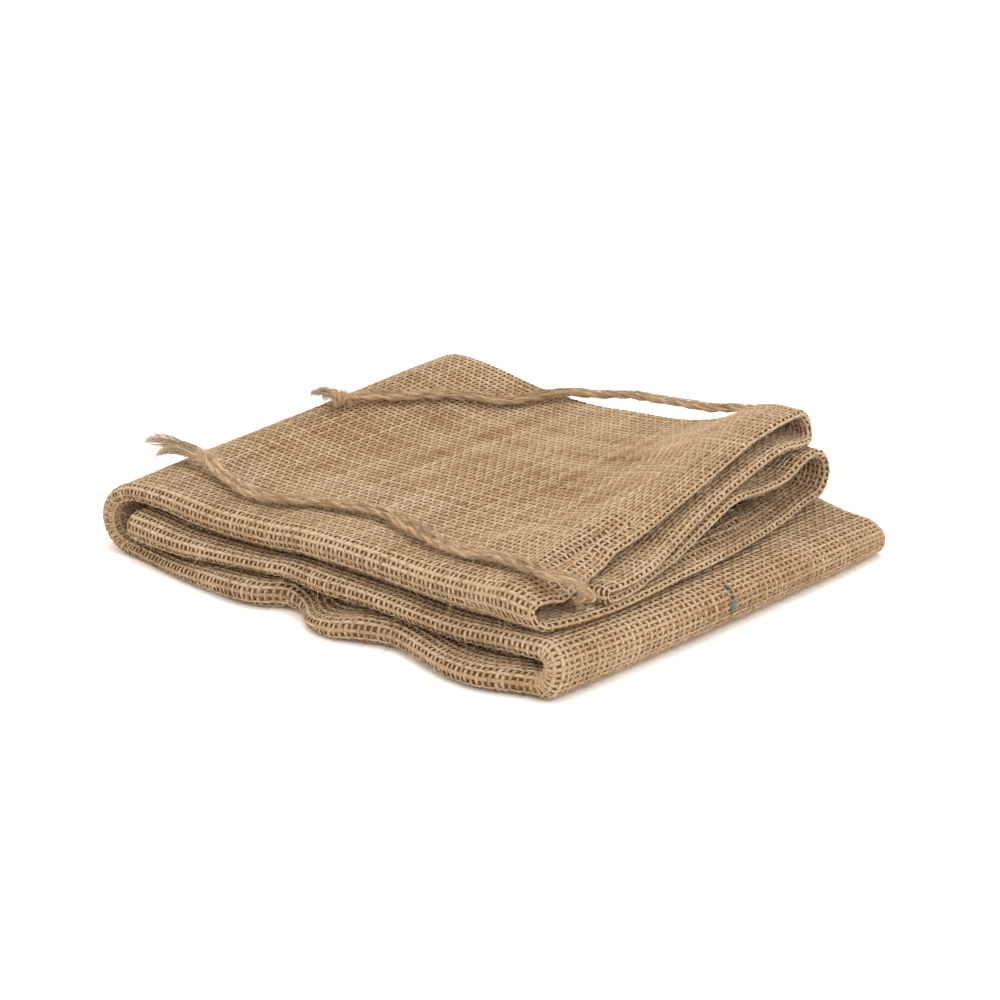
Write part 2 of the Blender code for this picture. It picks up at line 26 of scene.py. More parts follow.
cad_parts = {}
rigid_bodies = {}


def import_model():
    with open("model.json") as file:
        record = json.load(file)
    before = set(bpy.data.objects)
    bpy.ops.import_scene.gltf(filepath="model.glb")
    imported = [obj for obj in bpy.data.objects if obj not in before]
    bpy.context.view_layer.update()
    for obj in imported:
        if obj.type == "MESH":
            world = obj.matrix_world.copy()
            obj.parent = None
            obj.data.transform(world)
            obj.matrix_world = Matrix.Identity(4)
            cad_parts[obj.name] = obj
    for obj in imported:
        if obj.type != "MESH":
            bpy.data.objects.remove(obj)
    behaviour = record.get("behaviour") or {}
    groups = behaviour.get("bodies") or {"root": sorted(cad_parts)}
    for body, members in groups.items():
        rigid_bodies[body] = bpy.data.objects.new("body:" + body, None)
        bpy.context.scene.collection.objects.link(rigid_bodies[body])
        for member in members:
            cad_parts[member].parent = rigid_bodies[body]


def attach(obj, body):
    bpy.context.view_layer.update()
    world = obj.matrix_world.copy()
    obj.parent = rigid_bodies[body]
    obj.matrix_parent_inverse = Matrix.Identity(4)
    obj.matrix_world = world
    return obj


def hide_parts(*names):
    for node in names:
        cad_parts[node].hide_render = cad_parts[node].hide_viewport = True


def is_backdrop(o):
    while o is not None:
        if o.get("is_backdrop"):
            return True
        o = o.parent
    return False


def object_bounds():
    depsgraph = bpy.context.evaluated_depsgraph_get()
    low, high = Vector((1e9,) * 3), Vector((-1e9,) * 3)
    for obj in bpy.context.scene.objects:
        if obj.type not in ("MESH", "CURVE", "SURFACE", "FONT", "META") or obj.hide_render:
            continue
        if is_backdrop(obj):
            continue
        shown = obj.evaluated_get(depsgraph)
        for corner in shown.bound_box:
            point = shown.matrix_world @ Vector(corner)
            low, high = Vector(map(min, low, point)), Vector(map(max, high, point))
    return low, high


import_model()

LOG = logging.getLogger("jute_sack")
CAD_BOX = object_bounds()
ROOT = "root"

MM = 0.001
CENTRE = (132.0, 116.0)     # the frame's origin, along and across the parcel

# Long edge on the single-roll side: where each panel's roll ends across, the height of the slit
# between bottom and middle panel, how far that slit gapes, and the height of the next slit.
NEAR_EDGE = (
    # along  bottom  middle  top   slit_low  gape  slit_high
    (0.0, 15.0, 12.0, 16.0, 7.0, 0.0, 21.0),
    (20.0, 11.0, 8.5, 14.5, 6.8, 0.0, 22.2),
    (40.0, 8.0, 6.5, 13.5, 7.0, 0.0, 22.0),
    (58.0, 5.0, 6.0, 13.0, 8.2, 0.2, 20.0),
    (78.0, 3.0, 7.0, 13.0, 10.2, 0.0, 19.2),
    (95.0, 2.0, 8.5, 13.5, 12.0, 0.0, 19.3),
    (108.0, 4.0, 9.5, 14.0, 12.8, 0.2, 20.3),
    (118.0, 11.0, 11.0, 15.0, 13.0, 0.6, 21.5),
    (128.0, 11.0, 11.0, 15.0, 11.5, 3.4, 22.0),
    (140.0, 3.0, 10.0, 15.0, 11.0, 3.8, 22.5),
    (154.0, 0.0, 10.0, 15.0, 11.5, 1.6, 22.5),
    (166.0, 4.0, 10.0, 15.0, 12.5, 0.3, 22.0),
    (180.0, 9.0, 11.0, 15.0, 11.5, 0.0, 21.5),
    (196.0, 6.0, 11.0, 15.0, 11.0, 0.3, 20.5),
    (212.0, 2.0, 11.0, 15.0, 10.5, 0.6, 20.5),
    (230.0, 1.0, 12.0, 15.0, 11.0, 0.6, 21.5),
    (244.0, 6.0, 13.0, 15.0, 12.0, 0.4, 22.5),
    (264.0, 15.0, 15.0, 16.0, 12.0, 0.2, 23.5),
)
# Heights of the two slits beside the near fold, and how far the fold reaches past its start.
NEAR_FOLD = (
    # across  slit_low  slit_high  reach
    (15.0, 12.0, 23.5, 11.6),
    (60.0, 11.0, 21.5, 13.4),
    (120.0, 10.5, 20.5, 14.2),
    (190.0, 9.5, 19.3, 13.8),
    (232.0, 8.0, 17.5, 11.8),
)
# Height of the top panel's upper side, a row across the parcel for each place along it.
TOP_ACROSS = (22.0, 50.0, 85.0, 120.0, 160.0, 195.0, 225.0)
TOP = (
    # along   heights at those places across
    (0.0, 25.5, 28.0, 31.5, 35.0, 38.5, 41.0, 41.5),
    (12.0, 29.4, 31.9, 35.9, 39.4, 43.6, 46.8, 47.7),
    (26.0, 32.5, 35.2, 38.2, 40.7, 44.0, 47.2, 49.2),
    (46.0, 34.0, 35.0, 37.0, 38.5, 40.8, 44.3, 47.4),
    (74.0, 34.0, 34.5, 35.5, 36.5, 38.0, 39.8, 42.4),
    (104.0, 35.0, 35.0, 36.0, 37.0, 37.5, 38.5, 40.3),
    (132.0, 36.5, 35.5, 36.5, 38.0, 38.5, 39.5, 42.2),
    (160.0, 37.0, 36.0, 37.0, 39.0, 40.5, 42.0, 44.5),
    (182.0, 37.0, 36.5, 38.0, 41.0, 44.5, 47.5, 49.5),
    (202.0, 37.5, 38.0, 39.0, 43.0, 49.0, 54.0, 56.5),
    (222.0, 38.0, 39.0, 40.5, 44.5, 53.0, 60.2, 61.4),
    (252.0, 39.0, 39.5, 41.0, 46.0, 55.0, 62.5, 61.6),
)
# The mouth: where each ply ends along, how high the two inner plies lie in the panel's depth, and
# how far the lowest ply rises.
MOUTH = (
    # across  lower  inner_low  inner_high  upper  level_low  level_high  lift
    (15.0, 249.0, 248.0, 246.0, 245.0, 0.30, 0.60, 0.0),
    (36.0, 252.5, 252.0, 250.0, 244.5, 0.20, 0.56, 0.0),
    (52.0, 253.0, 253.5, 252.0, 240.5, 0.20, 0.52, 0.0),
    (66.0, 253.0, 252.5, 252.0, 236.5, 0.24, 0.50, 0.0),
    (84.0, 253.0, 248.5, 250.0, 234.5, 0.31, 0.55, 0.0),
    (106.0, 251.5, 244.0, 244.0, 232.5, 0.31, 0.60, 0.0),
    (128.0, 249.0, 241.0, 239.0, 230.5, 0.46, 0.66, 0.0),
    (150.0, 246.0, 239.0, 237.0, 229.0, 0.59, 0.73, 0.0),
    (172.0, 242.5, 238.0, 235.5, 227.0, 0.49, 0.76, 0.5),
    (189.0, 240.0, 237.5, 234.5, 228.0, 0.47, 0.76, 2.0),
    (204.0, 237.0, 236.5, 232.5, 227.5, 0.58, 0.70, 4.0),
    (225.0, 235.0, 235.0, 230.0, 224.0, 0.61, 0.69, 6.0),
)
# Soft ridges and troughs of the top panel's upper side: height, reach to each side, and the line.
CREASES = (
    # the ripple behind the hem: its trough, the swelling behind it and the one along the hem
    (-2.4, 2.0, ((236.0, 43.0), (232.0, 54.0), (228.0, 68.0), (227.0, 82.0), (230.0, 97.0))),
    (1.3, 3.6, ((227.0, 36.0), (223.0, 52.0), (219.0, 68.0), (218.0, 84.0), (220.0, 98.0))),
    (0.9, 2.6, ((241.0, 45.0), (236.0, 58.0), (233.0, 72.0), (232.0, 88.0), (231.0, 104.0))),
    # where the roll's end droops, and where its hem is pinched together
    (-4.5, 9.0, ((248.0, 8.0), (247.0, 30.0))),
    (-4.5, 7.0, ((247.0, 38.0), (242.0, 52.0), (238.0, 64.0))),
    # a broad swelling beside the drawstring
    (1.4, 9.0, ((196.0, 58.0), (207.0, 78.0), (211.0, 104.0))),
)
# The same for the lowest ply, where it shows inside the mouth: a swelling behind its hem.
LOW_CREASES = (
    (3.6, 4.5, ((239.0, 108.0), (238.0, 126.0), (235.0, 144.0), (231.0, 160.0))),
    (1.8, 5.0, ((231.0, 166.0), (227.0, 186.0))),
)
# Stitches of dyed thread on the near fold's face: sizes in millimetres, and the tone from 0 to 1.
MARK_STITCHES = (
    # from_height  to_height  sideways  width  tone
    (17.6, 15.4, 0.9, 1.30, 0.10),
    (14.8, 12.8, 0.8, 1.50, 0.20),
    (12.6, 9.0, 0.3, 1.90, 0.75),
    (8.8, 6.8, -0.2, 1.40, 0.35),
    (6.4, 4.6, 0.2, 1.50, 0.90),
)
# Drawstring routes, in metres: the middle of each pair, above the top panel's upper side, or above
# the ground where a row says so, and half the distance between its two twines.
NEAR_TWINE = (
    # along  across  height  from_ground  half_spread
    (0.2430, 0.0430, 0.0295, True, 0.0017),
    (0.2520, 0.0400, 0.0310, True, 0.0017),
    (0.2570, 0.0375, 0.0355, True, 0.0017),
    (0.2530, 0.0330, 0.0415, True, 0.0017),
    (0.2450, 0.0300, 0.0423, True, 0.0017),
    (0.2330, 0.0330, 0.0026, False, 0.0018),
    (0.2160, 0.0350, 0.0023, False, 0.0017),
    (0.2000, 0.0325, 0.0023, False, 0.0020),
    (0.1810, 0.0355, 0.0023, False, 0.0018),
    (0.1610, 0.0420, 0.0023, False, 0.0023),
    (0.1410, 0.0480, 0.0023, False, 0.0018),
    (0.1220, 0.0455, 0.0023, False, 0.0018),
    (0.1060, 0.0410, 0.0023, False, 0.0017),
    (0.0920, 0.0330, 0.0024, False, 0.0018),
    (0.0780, 0.0323, 0.0024, False, 0.0020),
    (0.0660, 0.0353, 0.0024, False, 0.0018),
    (0.0536, 0.0394, 0.0025, False, 0.0017),
    (0.0417, 0.0432, 0.0386, True, 0.0017),
)
REAR_TWINE = (
    # along  across  height  from_ground  half_spread
    (0.2130, 0.2295, 0.0445, True, 0.0017),
    (0.2000, 0.2315, 0.0505, True, 0.0017),
    (0.1830, 0.2305, 0.0503, True, 0.0024),
    (0.1670, 0.2295, 0.0475, True, 0.0019),
    (0.1520, 0.2295, 0.0465, True, 0.0017),
    (0.1380, 0.2285, 0.0460, True, 0.0017),
    (0.1220, 0.2280, 0.0450, True, 0.0017),
    (0.1060, 0.2255, 0.0425, True, 0.0017),
    (0.0930, 0.2170, 0.0026, False, 0.0017),
    (0.0840, 0.2040, 0.0023, False, 0.0017),
    (0.0780, 0.1915, 0.0023, False, 0.0018),
    (0.0670, 0.1860, 0.0023, False, 0.0019),
    (0.0550, 0.1770, 0.0023, False, 0.0018),
    (0.0470, 0.1665, 0.0024, False, 0.0018),
    (0.0405, 0.1570, 0.0024, False, 0.0017),
    (0.0346, 0.1485, 0.0029, False, 0.0017),
    (0.0309, 0.1392, 0.0453, True, 0.0017),
)

# For each drawstring: its route; its knot's middle and its two tails, as along, across and height in
# metres; the seed of its random draws; and its two twines' lengths.
STRINGS = {
    "near": (NEAR_TWINE, (0.0360, 0.0453, 0.0394), (
        ((0.0335, 0.0462, 0.0404), (0.0260, 0.0478, 0.0409), (0.0182, 0.0490, 0.0405),
         (0.0090, 0.0490, 0.0404), (0.0008, 0.0482, 0.0411), (-0.0055, 0.0472, 0.0402),
         (-0.0093, 0.0466, 0.0377)),
        ((0.0338, 0.0442, 0.0389), (0.0240, 0.0440, 0.0402), (0.0167, 0.0440, 0.0400),
         (0.0100, 0.0440, 0.0395), (0.0053, 0.0440, 0.0376), (0.0023, 0.0440, 0.0342)),
    ), 31, (0.250, 0.242)),
    "rear": (REAR_TWINE, (0.0292, 0.1332, 0.0457), (
        ((0.0270, 0.1334, 0.0464), (0.0195, 0.1338, 0.0473), (0.0135, 0.1342, 0.0466),
         (0.0090, 0.1348, 0.0436)),
        ((0.0270, 0.1346, 0.0454), (0.0195, 0.1368, 0.0459), (0.0140, 0.1378, 0.0444)),
    ), 47, (0.225, 0.230)),
}

Array = np.ndarray
Values = np.ndarray | list | tuple | float      # a number, or numbers in rows
Tree, Node, Socket = bpy.types.NodeTree, bpy.types.Node, bpy.types.NodeSocket
Feed = Socket | float                           # what can be fed to a node's input


# ---------------------------------------------------------------- colours, nodes and trees


def linear(colour: str) -> tuple[float, float, float, float]:
    """Turn an sRGB hex colour to the linear values that a shader reads.

    Args:
        colour: six hex digits.

    Returns:
        Red, green, blue and an alpha of 1.
    """
    parts = [int(colour[i:i + 2], 16) / 255 for i in (0, 2, 4)]
    return (*[p / 12.92 if p <= 0.04045 else ((p + 0.055) / 1.055) ** 2.4 for p in parts], 1.0)


def feed(tree: Tree, node: Node, inputs: dict | tuple | list) -> None:
    """Set or link a node's inputs.

    Args:
        tree: the node tree.
        node: the node.
        inputs: for each input's name or index, a value or another node's output, or a row of these
            for its first inputs.
    """
    for key, value in inputs.items() if isinstance(inputs, dict) else enumerate(inputs):
        socket = node.inputs[key] if isinstance(key, int) else next(
            s for s in node.inputs if s.name == key and s.enabled)
        if isinstance(value, bpy.types.NodeSocket):
            tree.links.new(value, socket)
        else:
            socket.default_value = value


def add_node(tree: Tree, kind: str, inputs: dict | tuple | list = (), **settings: object) -> Node:
    """Add a node to a shader or geometry tree, with its settings and what feeds it.

    Args:
        tree: the node tree.
        kind: the node's type name.
        inputs: what feeds it, as feed reads it.
        settings: the node's own properties.

    Returns:
        The new node.
    """
    node = tree.nodes.new(kind)
    for name, value in settings.items():
        setattr(node, name, value)
    feed(tree, node, inputs)
    return node


def set_stops(ramp: bpy.types.ColorRamp, stops: dict[float, str]) -> None:
    """Set a colour ramp's stops.

    Args:
        ramp: the ramp.
        stops: an sRGB hex colour for each position.
    """
    for i, (position, colour) in enumerate(stops.items()):
        element = ramp.elements[i] if i < 2 else ramp.elements.new(position)
        element.position, element.color = position, linear(colour)


MATH = "ShaderNodeMath"
RANDOM = "FunctionNodeRandomValue"
ATTRIBUTE = "GeometryNodeInputNamedAttribute"
STORE = "GeometryNodeStoreNamedAttribute"


class Graph:
    """A node tree that nodes are added to."""

    def __init__(self, tree: Tree) -> None:
        """Wrap a tree."""
        self.tree = tree

    def add(self, kind: str, inputs: dict | tuple | list = (), **settings: object) -> Node:
        """Add a node to the tree, as add_node does."""
        return add_node(self.tree, kind, inputs, **settings)

    def out(self, kind: str, inputs: dict | tuple | list = (), **settings: object) -> Socket:
        """Add a node and return the first output that its settings have switched on."""
        return next(s for s in self.add(kind, inputs, **settings).outputs if s.enabled)


class Shading(Graph):
    """A material's node tree."""

    def __init__(self, name: str, plain: str) -> None:
        """Start a material.

        Args:
            name: its name.
            plain: its mean colour, for views that don't read its nodes.
        """
        self.material = bpy.data.materials.new(name)
        self.material.use_nodes = True
        self.material.diffuse_color = linear(plain)
        super().__init__(self.material.node_tree)

    def dress(self, inputs: dict) -> bpy.types.Material:
        """Feed the material's shader and return the material."""
        feed(self.tree, self.tree.nodes["Principled BSDF"], inputs)
        return self.material


@dataclass(frozen=True)
class Fibre:
    """A finish of jute in one of its forms.

    The shades run from the fibre's darkest bark-brown to bleached straw, and the yarn's own tone
    picks between them.
    """

    name: str
    shades: tuple[str, ...]
    roughness: float = 0.82
    shine: float = 0.12
    sheen: float = 0.10
    sheen_tint: str = "E8CFA8"
    sheen_spread: float = 0.6
    relief: float = 0.30e-3     # how far bundles of fibre stand out
    relief_strength: float = 0.7
    bundle: float = 7e-3        # how far one bundle can be followed
    bundles: float = 2.2        # how many are met from a strand's middle to its side
    own_bundles: float = 60.0   # how far apart in the streaks two strands of unlike tone are
    twist: float = 150.0        # turns a metre, with which bundles wind around a strand
    streak_roughness: float = 0.7
    blotch: float = 26e-3       # size of the patches in which the colour drifts
    blotch_share: float = 0.5   # how much they shift the shade
    streak_share: float = 0.55

    def build(self) -> bpy.types.Material:
        """Build the material, which reads the attributes that a strand's tree leaves on it.

        Returns:
            The material.
        """
        count = len(self.shades) - 1
        shading = Shading(self.name, self.shades[count // 2])
        tone, run, around = (
            shading.add("ShaderNodeAttribute", attribute_name=name).outputs[socket]
            for name, socket in (("tone", "Fac"), ("run", "Fac"), ("around", "Vector")))
        # Retted fibre keeps cloudy patches of a warmer and a paler brown.
        cloud = shading.out("ShaderNodeTexNoise", {
            "Scale": 1 / self.blotch, "Detail": 2.0,
            "Vector": shading.add("ShaderNodeTexCoord").outputs["Object"]})
        # Bundles of fibre catch the light in long streaks that wind slowly around their strand.
        wound = shading.out("ShaderNodeVectorRotate", {
            "Vector": around,
            "Angle": shading.out(MATH, (run, 2 * math.pi * self.twist), operation="MULTIPLY"),
        }, rotation_type="Z_AXIS")
        own = shading.out(MATH, (tone, self.own_bundles), operation="MULTIPLY")
        ahead = shading.out(MATH, (run, 1 / self.bundle, own), operation="MULTIPLY_ADD")
        laid = shading.out("ShaderNodeVectorMath", {
            0: wound, 1: (self.bundles, self.bundles, 0.0),
            2: shading.out("ShaderNodeCombineXYZ", {"Z": ahead})}, operation="MULTIPLY_ADD")
        streak = shading.out("ShaderNodeTexNoise", {
            "Scale": 1.0, "Detail": 3.0, "Roughness": self.streak_roughness, "Vector": laid})
        shift = shading.out(MATH, (cloud, self.blotch_share, tone), operation="MULTIPLY_ADD")
        shift = shading.out(MATH, (streak, self.streak_share, shift), operation="MULTIPLY_ADD")
        mean = (self.blotch_share + self.streak_share) / 2
        ramp = shading.add("ShaderNodeValToRGB", {
            "Fac": shading.out(MATH, (shift, mean), operation="SUBTRACT")})
        set_stops(ramp.color_ramp, {i / count: shade for i, shade in enumerate(self.shades)})
        return shading.dress({
            "Base Color": ramp.outputs["Color"],
            "Normal": shading.out("ShaderNodeBump", {
                "Height": streak, "Strength": self.relief_strength, "Distance": self.relief}),
            "Roughness": self.roughness, "Specular IOR Level": self.shine,
            "Sheen Weight": self.sheen, "Sheen Roughness": self.sheen_spread,
            "Sheen Tint": linear(self.sheen_tint)})


@dataclass(frozen=True)
class HessianGround:
    """Plain-woven jute hessian, seen as one surface: the ground under and between raised yarns.

    It reads the weave map, whose unit is one thread, so its drawn threads lie under the raised ones
    and its holes show between them. The holes carry painted shade, the dark of the next ply in shadow,
    and the drawn threads are painted lighter where they rise and darker where they sink.
    """

    name: str = "jute_hessian_ground"
    # Painted shade: the holes' colour is the dark of the next ply lying in shadow behind them.
    hole_shade: str = "66442A"
    thread: str = "886642"
    # Lightest shade: pale grain streaks and the painted highlight on raised crowns.
    light: str = "A98C68"
    warp_half: float = 0.23     # half a thread's width, in thread spacings
    weft_half: float = 0.30
    swing: float = 0.45         # how far a thread rises where it goes over, as a part of its crown
    base: float = 0.6           # height of its sides, in the same way
    grain: float = 700.0        # streaks in a metre
    grain_roughness: float = 0.65
    grain_share: float = 0.6    # how much the streaks lighten the shade
    painted_relief_light: float = 0.45  # how much lighter a raised place is painted: painted highlight on crowns, painted shade low down
    shade_low: float = -0.3
    thread_stop: float = 0.35
    relief: float = 0.6e-3
    relief_strength: float = 0.9
    roughness: float = 0.95
    shine: float = 0.05

    def build(self) -> bpy.types.Material:
        """Build the material from the weave's own arithmetic.

        Returns:
            The material.
        """
        shading = Shading(self.name, self.thread)
        out = shading.out
        weave = out("ShaderNodeUVMap", uv_map="weave")
        parts = shading.add("ShaderNodeSeparateXYZ", {"Vector": weave}).outputs
        covers, heights = [], []
        for axis, half, swing in ((1, self.warp_half, self.swing), (0, self.weft_half, -self.swing)):
            nearest = out(MATH, (parts[axis],), operation="ROUND")
            away = out(MATH, (parts[axis], nearest), operation="SUBTRACT")
            off = out(MATH, (out(MATH, (away,), operation="ABSOLUTE"), half), operation="DIVIDE")
            round_off = out(MATH, (1.0, out(MATH, (off, off), operation="MULTIPLY")), operation="SUBTRACT")
            crown = out(MATH, (out(MATH, (round_off, 0.0), operation="MAXIMUM"),), operation="SQRT")
            crossed = out(MATH, (nearest, parts[1 - axis]), operation="ADD")
            phase = out(MATH, (crossed, math.pi), operation="MULTIPLY")
            lift = out(MATH, (out(MATH, (phase,), operation="COSINE"), swing), operation="MULTIPLY")
            covers.append(out(MATH, (off, 1.0), operation="LESS_THAN"))
            lifted = out(MATH, (out(MATH, (crown, lift), operation="ADD"), self.base), operation="ADD")
            heights.append(out(MATH, (lifted, covers[-1]), operation="MULTIPLY"))
        cover, height = (out(MATH, both, operation="MAXIMUM") for both in (covers, heights))
        streak = out("ShaderNodeTexNoise", {
            "Scale": self.grain, "Detail": 3.0, "Roughness": self.grain_roughness,
            "Vector": shading.add("ShaderNodeTexCoord").outputs["Object"]})
        # Painted light and shade: raised places of the drawn threads are painted lighter and low ones
        # darker, on top of the real grain streaks.
        raised = out(MATH, (height, self.painted_relief_light, self.shade_low), operation="MULTIPLY_ADD")
        ramp = shading.add("ShaderNodeValToRGB", {
            "Fac": out(MATH, (streak, self.grain_share, raised), operation="MULTIPLY_ADD")})
        set_stops(ramp.color_ramp, {0.0: self.hole_shade, self.thread_stop: self.thread, 1.0: self.light})
        # Between the drawn threads the sheet takes the holes' painted shade.
        return shading.dress({
            "Base Color": out("ShaderNodeMix", {
                "Factor": cover, "A": linear(self.hole_shade), "B": ramp.outputs["Color"]}, data_type="RGBA"),
            "Normal": shading.out("ShaderNodeBump", {
                "Height": height, "Strength": self.relief_strength, "Distance": self.relief}),
            "Roughness": self.roughness, "Specular IOR Level": self.shine})


@dataclass(frozen=True)
class MattePaper:
    """Seamless white paper, dull and even, which throws a soft light back up."""

    name: str = "matte_paper"
    colour: str = "FBFAF9"
    roughness: float = 0.95

    def build(self) -> bpy.types.Material:
        """Build the material."""
        return Shading(self.name, self.colour).dress({
            "Base Color": linear(self.colour), "Roughness": self.roughness})


class Finish(Enum):
    """The sack's finishes."""

    # Yarn spun from retted jute: soft, straw-brown, a little silky where fibres lie together.
    YARN = Fibre("jute_yarn", ("725536", "967A5C", "AB9275", "B49E83", "BCA890"))
    # Twine laid from coarser, less cleaned fibre: a shade browner and duller than the cloth.
    TWINE = Fibre("jute_twine", ("6E523A", "957757", "AF9374", "C0A789", "CFBBA0"),
                  relief=0.5e-3, bundles=3.5, twist=-60.0)
    # Single loose fibres: pale and glossy, they stand out against the dark and vanish on white.
    FUZZ = Fibre("loose_jute_fibre", ("A0815A", "B99B74", "CDB491", "E0CFB4"), shine=0.3, sheen=0.3)
    # A few stitches of dyed thread: bottle green, faded where they lie over a yarn.
    MARK = Fibre("green_dyed_thread", ("3B463B", "2F5446", "3C6657", "6C8475"))
    # What lies behind the yarns: the next ply's threads, dull, with painted shade in the holes and painted
    # light on the drawn threads' crowns.
    GROUND = HessianGround()
    # The floor: it only gives back a soft light and takes the contact shadow.
    PAPER = MattePaper()


class Materials:
    """Builds each finish once, when it is first asked for."""

    def __init__(self) -> None:
        """Start with nothing built."""
        self._built: dict[Finish, bpy.types.Material] = {}

    def __getitem__(self, finish: Finish) -> bpy.types.Material:
        """Return a finish's material.

        Args:
            finish: the finish.

        Returns:
            Its material, the same one each time.
        """
        if finish not in self._built:
            self._built[finish] = finish.value.build()
        return self._built[finish]


SOCKETS = {kind: "NodeSocket" + kind.title() for kind in ("geometry", "float", "int", "material")}


def place_object(name: str, data: bpy.types.ID) -> bpy.types.Object:
    """Make an object of some data and link it to the scene.

    Args:
        name: its name.
        data: its data.

    Returns:
        The object.
    """
    made = bpy.data.objects.new(name, data)
    bpy.context.scene.collection.objects.link(made)
    return made


class GrowthTree(Graph):
    """A Geometry Nodes tree with named inputs, which ends in realized geometry and its material."""

    def __init__(self, name: str, inputs: dict[str, str]) -> None:
        """Start the tree.

        Args:
            name: the tree's name.
            inputs: each input's name, with its kind from SOCKETS.
        """
        super().__init__(bpy.data.node_groups.new(name, "GeometryNodeTree"))
        self.ids = {}
        for label, kind in {"Geometry": "geometry", **inputs, "Material": "material"}.items():
            socket = self.tree.interface.new_socket(label, in_out="INPUT", socket_type=SOCKETS[kind])
            self.ids[label] = socket.identifier
        self.tree.interface.new_socket("Geometry", in_out="OUTPUT", socket_type=SOCKETS["geometry"])
        self.inputs = self.tree.nodes.new("NodeGroupInput").outputs

    def tubes(self, curves: Socket, sides: Feed, across: Feed, up: Feed, width: Feed) -> Socket:
        """Give curves a rounded section and mark how far along and which way around each point is.

        Args:
            curves: the curves' output.
            sides: how many sides the section has.
            across: the section's full size along the curves' normals.
            up: its full size the other way.
            width: a scale for it at each point of the curves.

        Returns:
            The tubes' output, with run and around stored on them.
        """
        ring = self.out("GeometryNodeCurvePrimitiveCircle", {
            "Resolution": sides, "Radius": 1.0}, mode="RADIUS")
        marked = self.out(STORE, {
            "Geometry": ring, "Name": "around", "Value": self.out("GeometryNodeInputPosition"),
        }, data_type="FLOAT_VECTOR", domain="POINT")
        size = self.out("ShaderNodeCombineXYZ", {
            "X": self.out(MATH, (across, 0.5), operation="MULTIPLY"),
            "Y": self.out(MATH, (up, 0.5), operation="MULTIPLY"), "Z": 1.0})
        profile = self.out("GeometryNodeTransform", {"Geometry": marked, "Scale": size})
        run = self.out(STORE, {
            "Geometry": curves, "Name": "run",
            "Value": self.add("GeometryNodeSplineParameter").outputs["Length"],
        }, data_type="FLOAT", domain="POINT")
        return self.out("GeometryNodeCurveToMesh", {
            "Curve": run, "Profile Curve": profile, "Scale": width, "Fill Caps": True})

    def finish(self, geometry: Socket) -> "GrowthTree":
        """Close the tree.

        Args:
            geometry: the output that holds what has grown.

        Returns:
            The tree itself.
        """
        smooth = self.out("GeometryNodeSetShadeSmooth", {"Geometry": geometry})
        real = self.out("GeometryNodeRealizeInstances", {"Geometry": smooth})
        dressed = self.out("GeometryNodeSetMaterial", {
            "Geometry": real, "Material": self.inputs["Material"]})
        self.add("NodeGroupOutput", {0: dressed})
        return self

    def grow(self, name: str, seed_mesh: bpy.types.Mesh, values: dict) -> bpy.types.Object:
        """Run the tree on a mesh and keep what grows as a plain mesh object.

        Args:
            name: the new piece's name.
            seed_mesh: the mesh that the tree reads.
            values: a value for each named input.

        Returns:
            The new object, with no modifier on it.
        """
        carrier = place_object(name + "_carrier", seed_mesh)
        modifier = carrier.modifiers.new(name, "NODES")
        modifier.node_group = self.tree
        for label, value in values.items():
            modifier[self.ids[label]] = value
        graph = bpy.context.evaluated_depsgraph_get()
        mesh = bpy.data.meshes.new_from_object(carrier.evaluated_get(graph))
        mesh.name = name
        bpy.data.objects.remove(carrier, do_unlink=True)
        bpy.data.meshes.remove(seed_mesh)
        return place_object(name, mesh)


# ---------------------------------------------------------------- arrays


def curve(places: Values, values: Values, at: Values) -> Array:
    """Read a smooth curve through rows of values.

    Args:
        places: the rows' places, alike for all or a row of them for each point read.
        values: the rows' values, in the same form.
        at: where to read.

    Returns:
        The curve's values, held level past its ends.
    """
    at = np.asarray(at, float)
    places, values = (np.asarray(a, float) for a in (places, values))
    places, values = (a.reshape(a.shape + (1,) * (1 + at.ndim - a.ndim)) for a in (places, values))
    shape = (len(places), *at.shape)
    places, values = np.broadcast_to(places, shape), np.broadcast_to(values, shape)
    slopes = np.empty(shape)
    slopes[1:-1] = (values[2:] - values[:-2]) / (places[2:] - places[:-2])
    slopes[0] = (values[1] - values[0]) / (places[1] - places[0])
    slopes[-1] = (values[-1] - values[-2]) / (places[-1] - places[-2])
    low = (at >= places[1:-1]).sum(0)[None]

    def pick(rows: Array, index: Array) -> Array:
        """Take each point's own row."""
        return np.take_along_axis(rows, index, 0)[0]

    start, span = pick(places, low), pick(places, low + 1) - pick(places, low)
    t = np.clip((at - start) / span, 0.0, 1.0)
    return (
        (1 + 2 * t) * (1 - t) ** 2 * pick(values, low) + t * (1 - t) ** 2 * span * pick(slopes, low)
        + t * t * (3 - 2 * t) * pick(values, low + 1) + t * t * (t - 1) * span * pick(slopes, low + 1)
    )


def column(table: tuple, index: int, at: Values) -> Array:
    """Read one column of a table, whose first column holds the rows' places."""
    rows = np.array(table)
    return curve(rows[:, 0], rows[:, index], at)


def blend(low: Values, high: Values, part: Values) -> Array:
    """Go a part of the way from one value to another."""
    return low + (high - low) * part


def ease(low: float, high: float, value: Values) -> Array:
    """Give 0 below low, 1 above high, and a smooth step between."""
    part = np.clip((np.asarray(value, float) - low) / (high - low), 0.0, 1.0)
    return part * part * (3.0 - 2.0 * part)


def unit(vectors: Array) -> Array:
    """Scale vectors to a length of 1."""
    return vectors / np.maximum(np.linalg.norm(vectors, axis=-1, keepdims=True), 1e-12)


def read_line(points: Array, at: Array) -> Array:
    """Read places on a line of points, at whole and broken point numbers."""
    return np.stack([np.interp(at, np.arange(len(points)), points[:, k]) for k in range(3)], -1)


def drift(rng: np.random.Generator, count: int, reach: float) -> Array:
    """Draw a slow random curve.

    Args:
        rng: the random numbers' source.
        count: how many values.
        reach: over how many values it changes.

    Returns:
        Values that wander between about -1 and 1.
    """
    knots = rng.uniform(-1, 1, int(count / reach) + 3)
    at = np.arange(count) / reach
    return curve(np.arange(len(knots)), knots, at)


